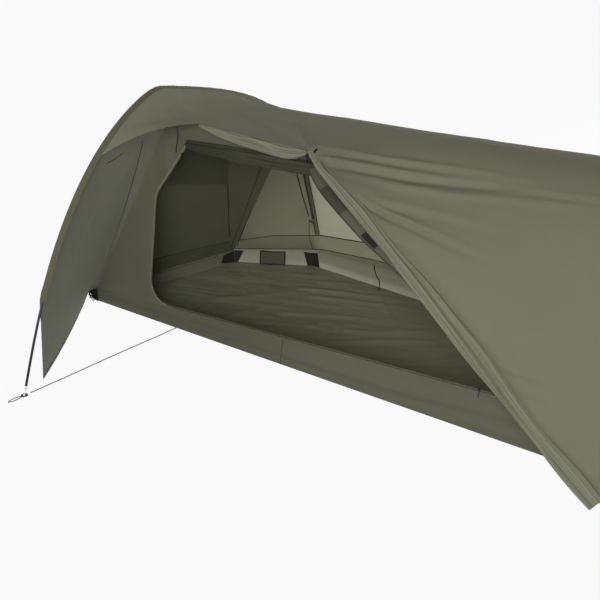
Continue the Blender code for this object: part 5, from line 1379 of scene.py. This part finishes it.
def make_corners():
    """Straps from the floor's corners round the buckles, and tabs from the fly's hem."""
    wrap = BUCKLE_BAR_RADIUS + 0.0004 + CORNER_STRAP_THICKNESS / 2
    reach = CORNER_REACH * 0.55
    route = [(0.0, CORNER_STRAP_THICKNESS * 0.75), (reach * 0.45, CORNER_RISE * 0.30)]
    for angle in map(radians, range(-60, 181, 20)):
        route.append((reach + wrap * cos(angle), CORNER_RISE + wrap * sin(angle)))
    route.append((reach - wrap - CORNER_STRAP_SET_OFF, CORNER_RISE - CORNER_STRAP_TAIL))
    for label, index in (("near_head", 0), ("near_foot", 1), ("far_foot", 2), ("far_head", 4)):
        body, foot_end = f"hem_buckle_{label}_body", index in (1, 2)
        along = vec(1, 0, 0) if foot_end else corner_out(index)
        start = CORNERS[index] + along * 0.0004
        if foot_end:
            start[1] += CORNER_INSET if index == 1 else -CORNER_INSET
        across = np.cross(UP, along)
        line = [start + along * a + UP * z for a, z in route]
        strap = ribbon(f"corner_strap_{label}_tape", line, across, CORNER_STRAP_WIDTH, CORNER_STRAP_THICKNESS,
                       "webbing")
        tagged(strap, "webbing", f"corner_strap_{label}")
        bar = start + along * (reach + BUCKLE_PITCH) + UP * CORNER_RISE
        if foot_end:
            end = bar + along * 0.055 - UP * 0.017
        else:
            end = hem_corner(index, -HEM_NEAR_MARGIN if index == 0 else HEM_FAR_MARGIN) + vec(0.003, 0, 0.006)
        t = np.linspace(0.1, 1, 14)[:, None]
        loop = np.concatenate([[bar - along * 0.0026 - UP * 0.001, bar - along * 0.001 + UP * 0.0026],
                               lerp(bar + UP * 0.0026, end, t) - UP * 0.004 * np.sin(pi * t)])
        tab = ribbon(f"fly_corner_tab_{label}", loop, across, 0.014, 0.0010, "webbing", body=None)
        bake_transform(tab)
        if not foot_end:
            side = start - along * 0.003 + UP * 0.001
            low = between(side, side + UP * (TUB_HEAD_HEIGHT - 0.002), 9)
            high = between(bar - along * 0.013 - UP * 0.014, end + vec(0.002, 0, -0.003), 9)
            gusset = between(low, high, 7).swapaxes(0, 1)
            tagged(joined(f"fly_corner_gusset_{label}", [gusset], "webbing"), "webbing")
        t = shares(9)[:, None]
        tail = bar - along * (0.0030 + 0.010 * t) - UP * (0.004 + 0.015 * t) + across * 0.004 * np.sin(3 * t)
        tagged(ribbon(f"fly_corner_tail_{label}", tail, across, 0.008, 0.0008, "webbing", body), "webbing")


def make_cords():
    """The loop over the fly's toggle, the tie beside its door, and the zips' pulls."""
    roof = CLOTHS["fly_roof_cloth"]
    line, facing = over_cloth(roof, ((313.6, 153.4), (316.8, 149.6)), 7)
    tagged(tube("fly_door_toggle_loop", line + facing * 0.003, 0.0032, "plastic"), "webbing")
    top = over_cloth(roof, ((173, 127), (175, 127.4)), 2)[0][1]
    drop = np.array([top + vec(0.006 * sin(5 * t), -0.001, -0.090 * t) for t in shares(21)])
    tie = tube("fly_door_tie", drop, 0.0026, "cord", flat=0.6)
    tagged(corded(tie), "webbing")
    for label, (x, z) in PULL_TOPS.items():
        top = vec(x, PULL_FACE_Y - PULL_THICKNESS / 2, z - 0.001)
        line = [top + vec(0.0006 * sin(5 * t), 0, -(PULL_LENGTH - 0.001) * t) for t in shares(15)]
        pull = tube(f"zip_pull_{label}_cord", line, PULL_WIDTH / 2, "cord", f"zip_pull_{label}_body", 10, 0.4)
        tagged(pull, "webbing", f"zip_pull_{label}")


def make_trim():
    """The mesh pocket and the patches of webbing, which hang on the tub's far walls."""
    foot, arch, head = CORNERS[2:]
    length = np.linalg.norm(arch - head)

    def at(distance):
        a, b, more = (head, arch, distance) if distance <= length else (arch, foot, distance - length)
        along = unit(b - a)
        return a + along * more, vec(along[1], -along[0], 0)

    def face(node, end, finish, start, width, height, bulge, lean, shear=0.0, taper=0.0):
        rows, dip = [], 0.003 * (bulge > FLAT_BULGE)
        for s in shares(17):
            rows.append([])
            for t in shares(11):
                point, inward = at(start + width * s * (1 - taper * (1 - t)) + shear * (1 - t))
                stand = CLOTH + 0.0005 + lean * (1 - t) + bulge * sin(pi * s) * sin(pi * t)
                rise = 0.003 + height * t - dip * sin(pi * s) * t
                rows[-1].append(point + inward * stand + UP * rise)
        rows = np.array(rows)
        obj = joined(node + end, [rows], finish)
        tagged(obj, finish, node)
        return rows

    room = length - 2 * PATCH_WIDTH - POCKET_WIDTH
    face("corner_patch_head", "_tape", "webbing", 0.0006, 0.044, PATCH_HEIGHT, 0.001, 0.004, taper=0.65)
    start = PATCH_WIDTH + room * 0.45
    pocket = face("mesh_pocket", "_cloth", "mesh", start, POCKET_WIDTH, POCKET_HEIGHT, 0.006, 0.014)
    face("corner_patch_arch", "_tape", "webbing", length - 0.052, 0.070, PATCH_HEIGHT + 0.010, 0.003,
         0.005, shear=0.018)
    binding = np.concatenate([pocket[0, ::-1], pocket[1:, 0], pocket[-1, 1:], pocket[-2:0:-1, -1],
                              pocket[0, -1:]])
    tube("mesh_pocket_binding", binding + at(start)[1] * 0.001, 0.0027, "webbing", sides=6)


def keep_nodes():
    """Gives the rigid solids that stay in view their finishes."""
    for name, finish in (
        ("pole_section", "pole"), ("pole_tip", "bare"), ("shock_cord", "cord"), ("hem_buckle", "plastic"),
        ("zip_slider", "pole"), ("door_toggle", "plastic"),
    ):
        for node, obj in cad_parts.items():
            if name in node:
                obj = obj if hasattr(obj, "data") else bpy.data.objects[node]
                for slot in obj.material_slots:
                    slot.material = FINISH[finish]


# Studio


def make_studio():
    """A pale floor that keeps the shadow, a surround that the camera sees as white, and three soft lamps."""
    white, span = (1, 1, 1, 1), 60
    world = bpy.context.scene.world = bpy.data.worlds.new("studio")
    floor = bpy.data.materials.new("studio floor")
    for owner, out, share, (kind, plain), (glow, bright) in (
        (floor, "OutputMaterial", 0.94, ("BsdfDiffuse", {"Color": (0.36, 0.36, 0.36, 1)}),
         ("Emission", {"Color": white, "Strength": 1.0})),
        (world, "OutputWorld", 1.0, ("Background", {0: white, 1: 0.10}), ("Background", {0: white, 1: 1.0})),
    ):
        nodes = Nodes(owner)
        path = nodes.add("LightPath").outputs
        direct = nodes.math("MAXIMUM", path["Is Camera Ray"], path["Is Glossy Ray"])
        shaders = {1: nodes.add(kind, plain).outputs[0], 2: nodes.add(glow, bright).outputs[0]}
        mixed = nodes.add("MixShader", {0: nodes.times(direct, share), **shaders})
        nodes.finish(mixed.outputs[0], out)
    mesh = bpy.data.meshes.new("studio_floor")
    corners = [(x * span, y * span, -0.0005) for x, y in ((-1, -1), (1, -1), (1, 1), (-1, 1))]
    mesh.from_pydata(corners, [], [(0, 1, 2, 3)])
    mesh.materials.append(floor)
    placed("studio_floor", mesh)
    for name, place, size, power in (
        ("key", (4.7, -7.2, 2.7), 3.0, 600),
        ("front", (-4.4, -5.0, 1.5), 3.0, 90),
        ("back", (1.4, 4.6, 1.3), 2.4, 230),
    ):
        lamp = bpy.data.lights.new(name, "AREA")
        lamp.shape, lamp.size, lamp.energy = "DISK", size, power
        obj = placed(name, lamp)
        obj.location = place
        obj.rotation_euler = (Vector((0, 0, 0.4)) - obj.location).to_track_quat("-Z", "Y").to_euler()
    bpy.context.scene.view_settings.view_transform = "Standard"


make_camera()
make_studio()
make_fly()
make_sleeve(MAIN, SLEEVE_START, "main_sleeve")
make_sleeve(FOOT, 0, "foot_sleeve")
make_doors()
make_strip()
make_near_wall()
make_inner()
make_floor()
make_seams()
make_straps()
make_corners()
make_cords()
make_trim()
keep_nodes()
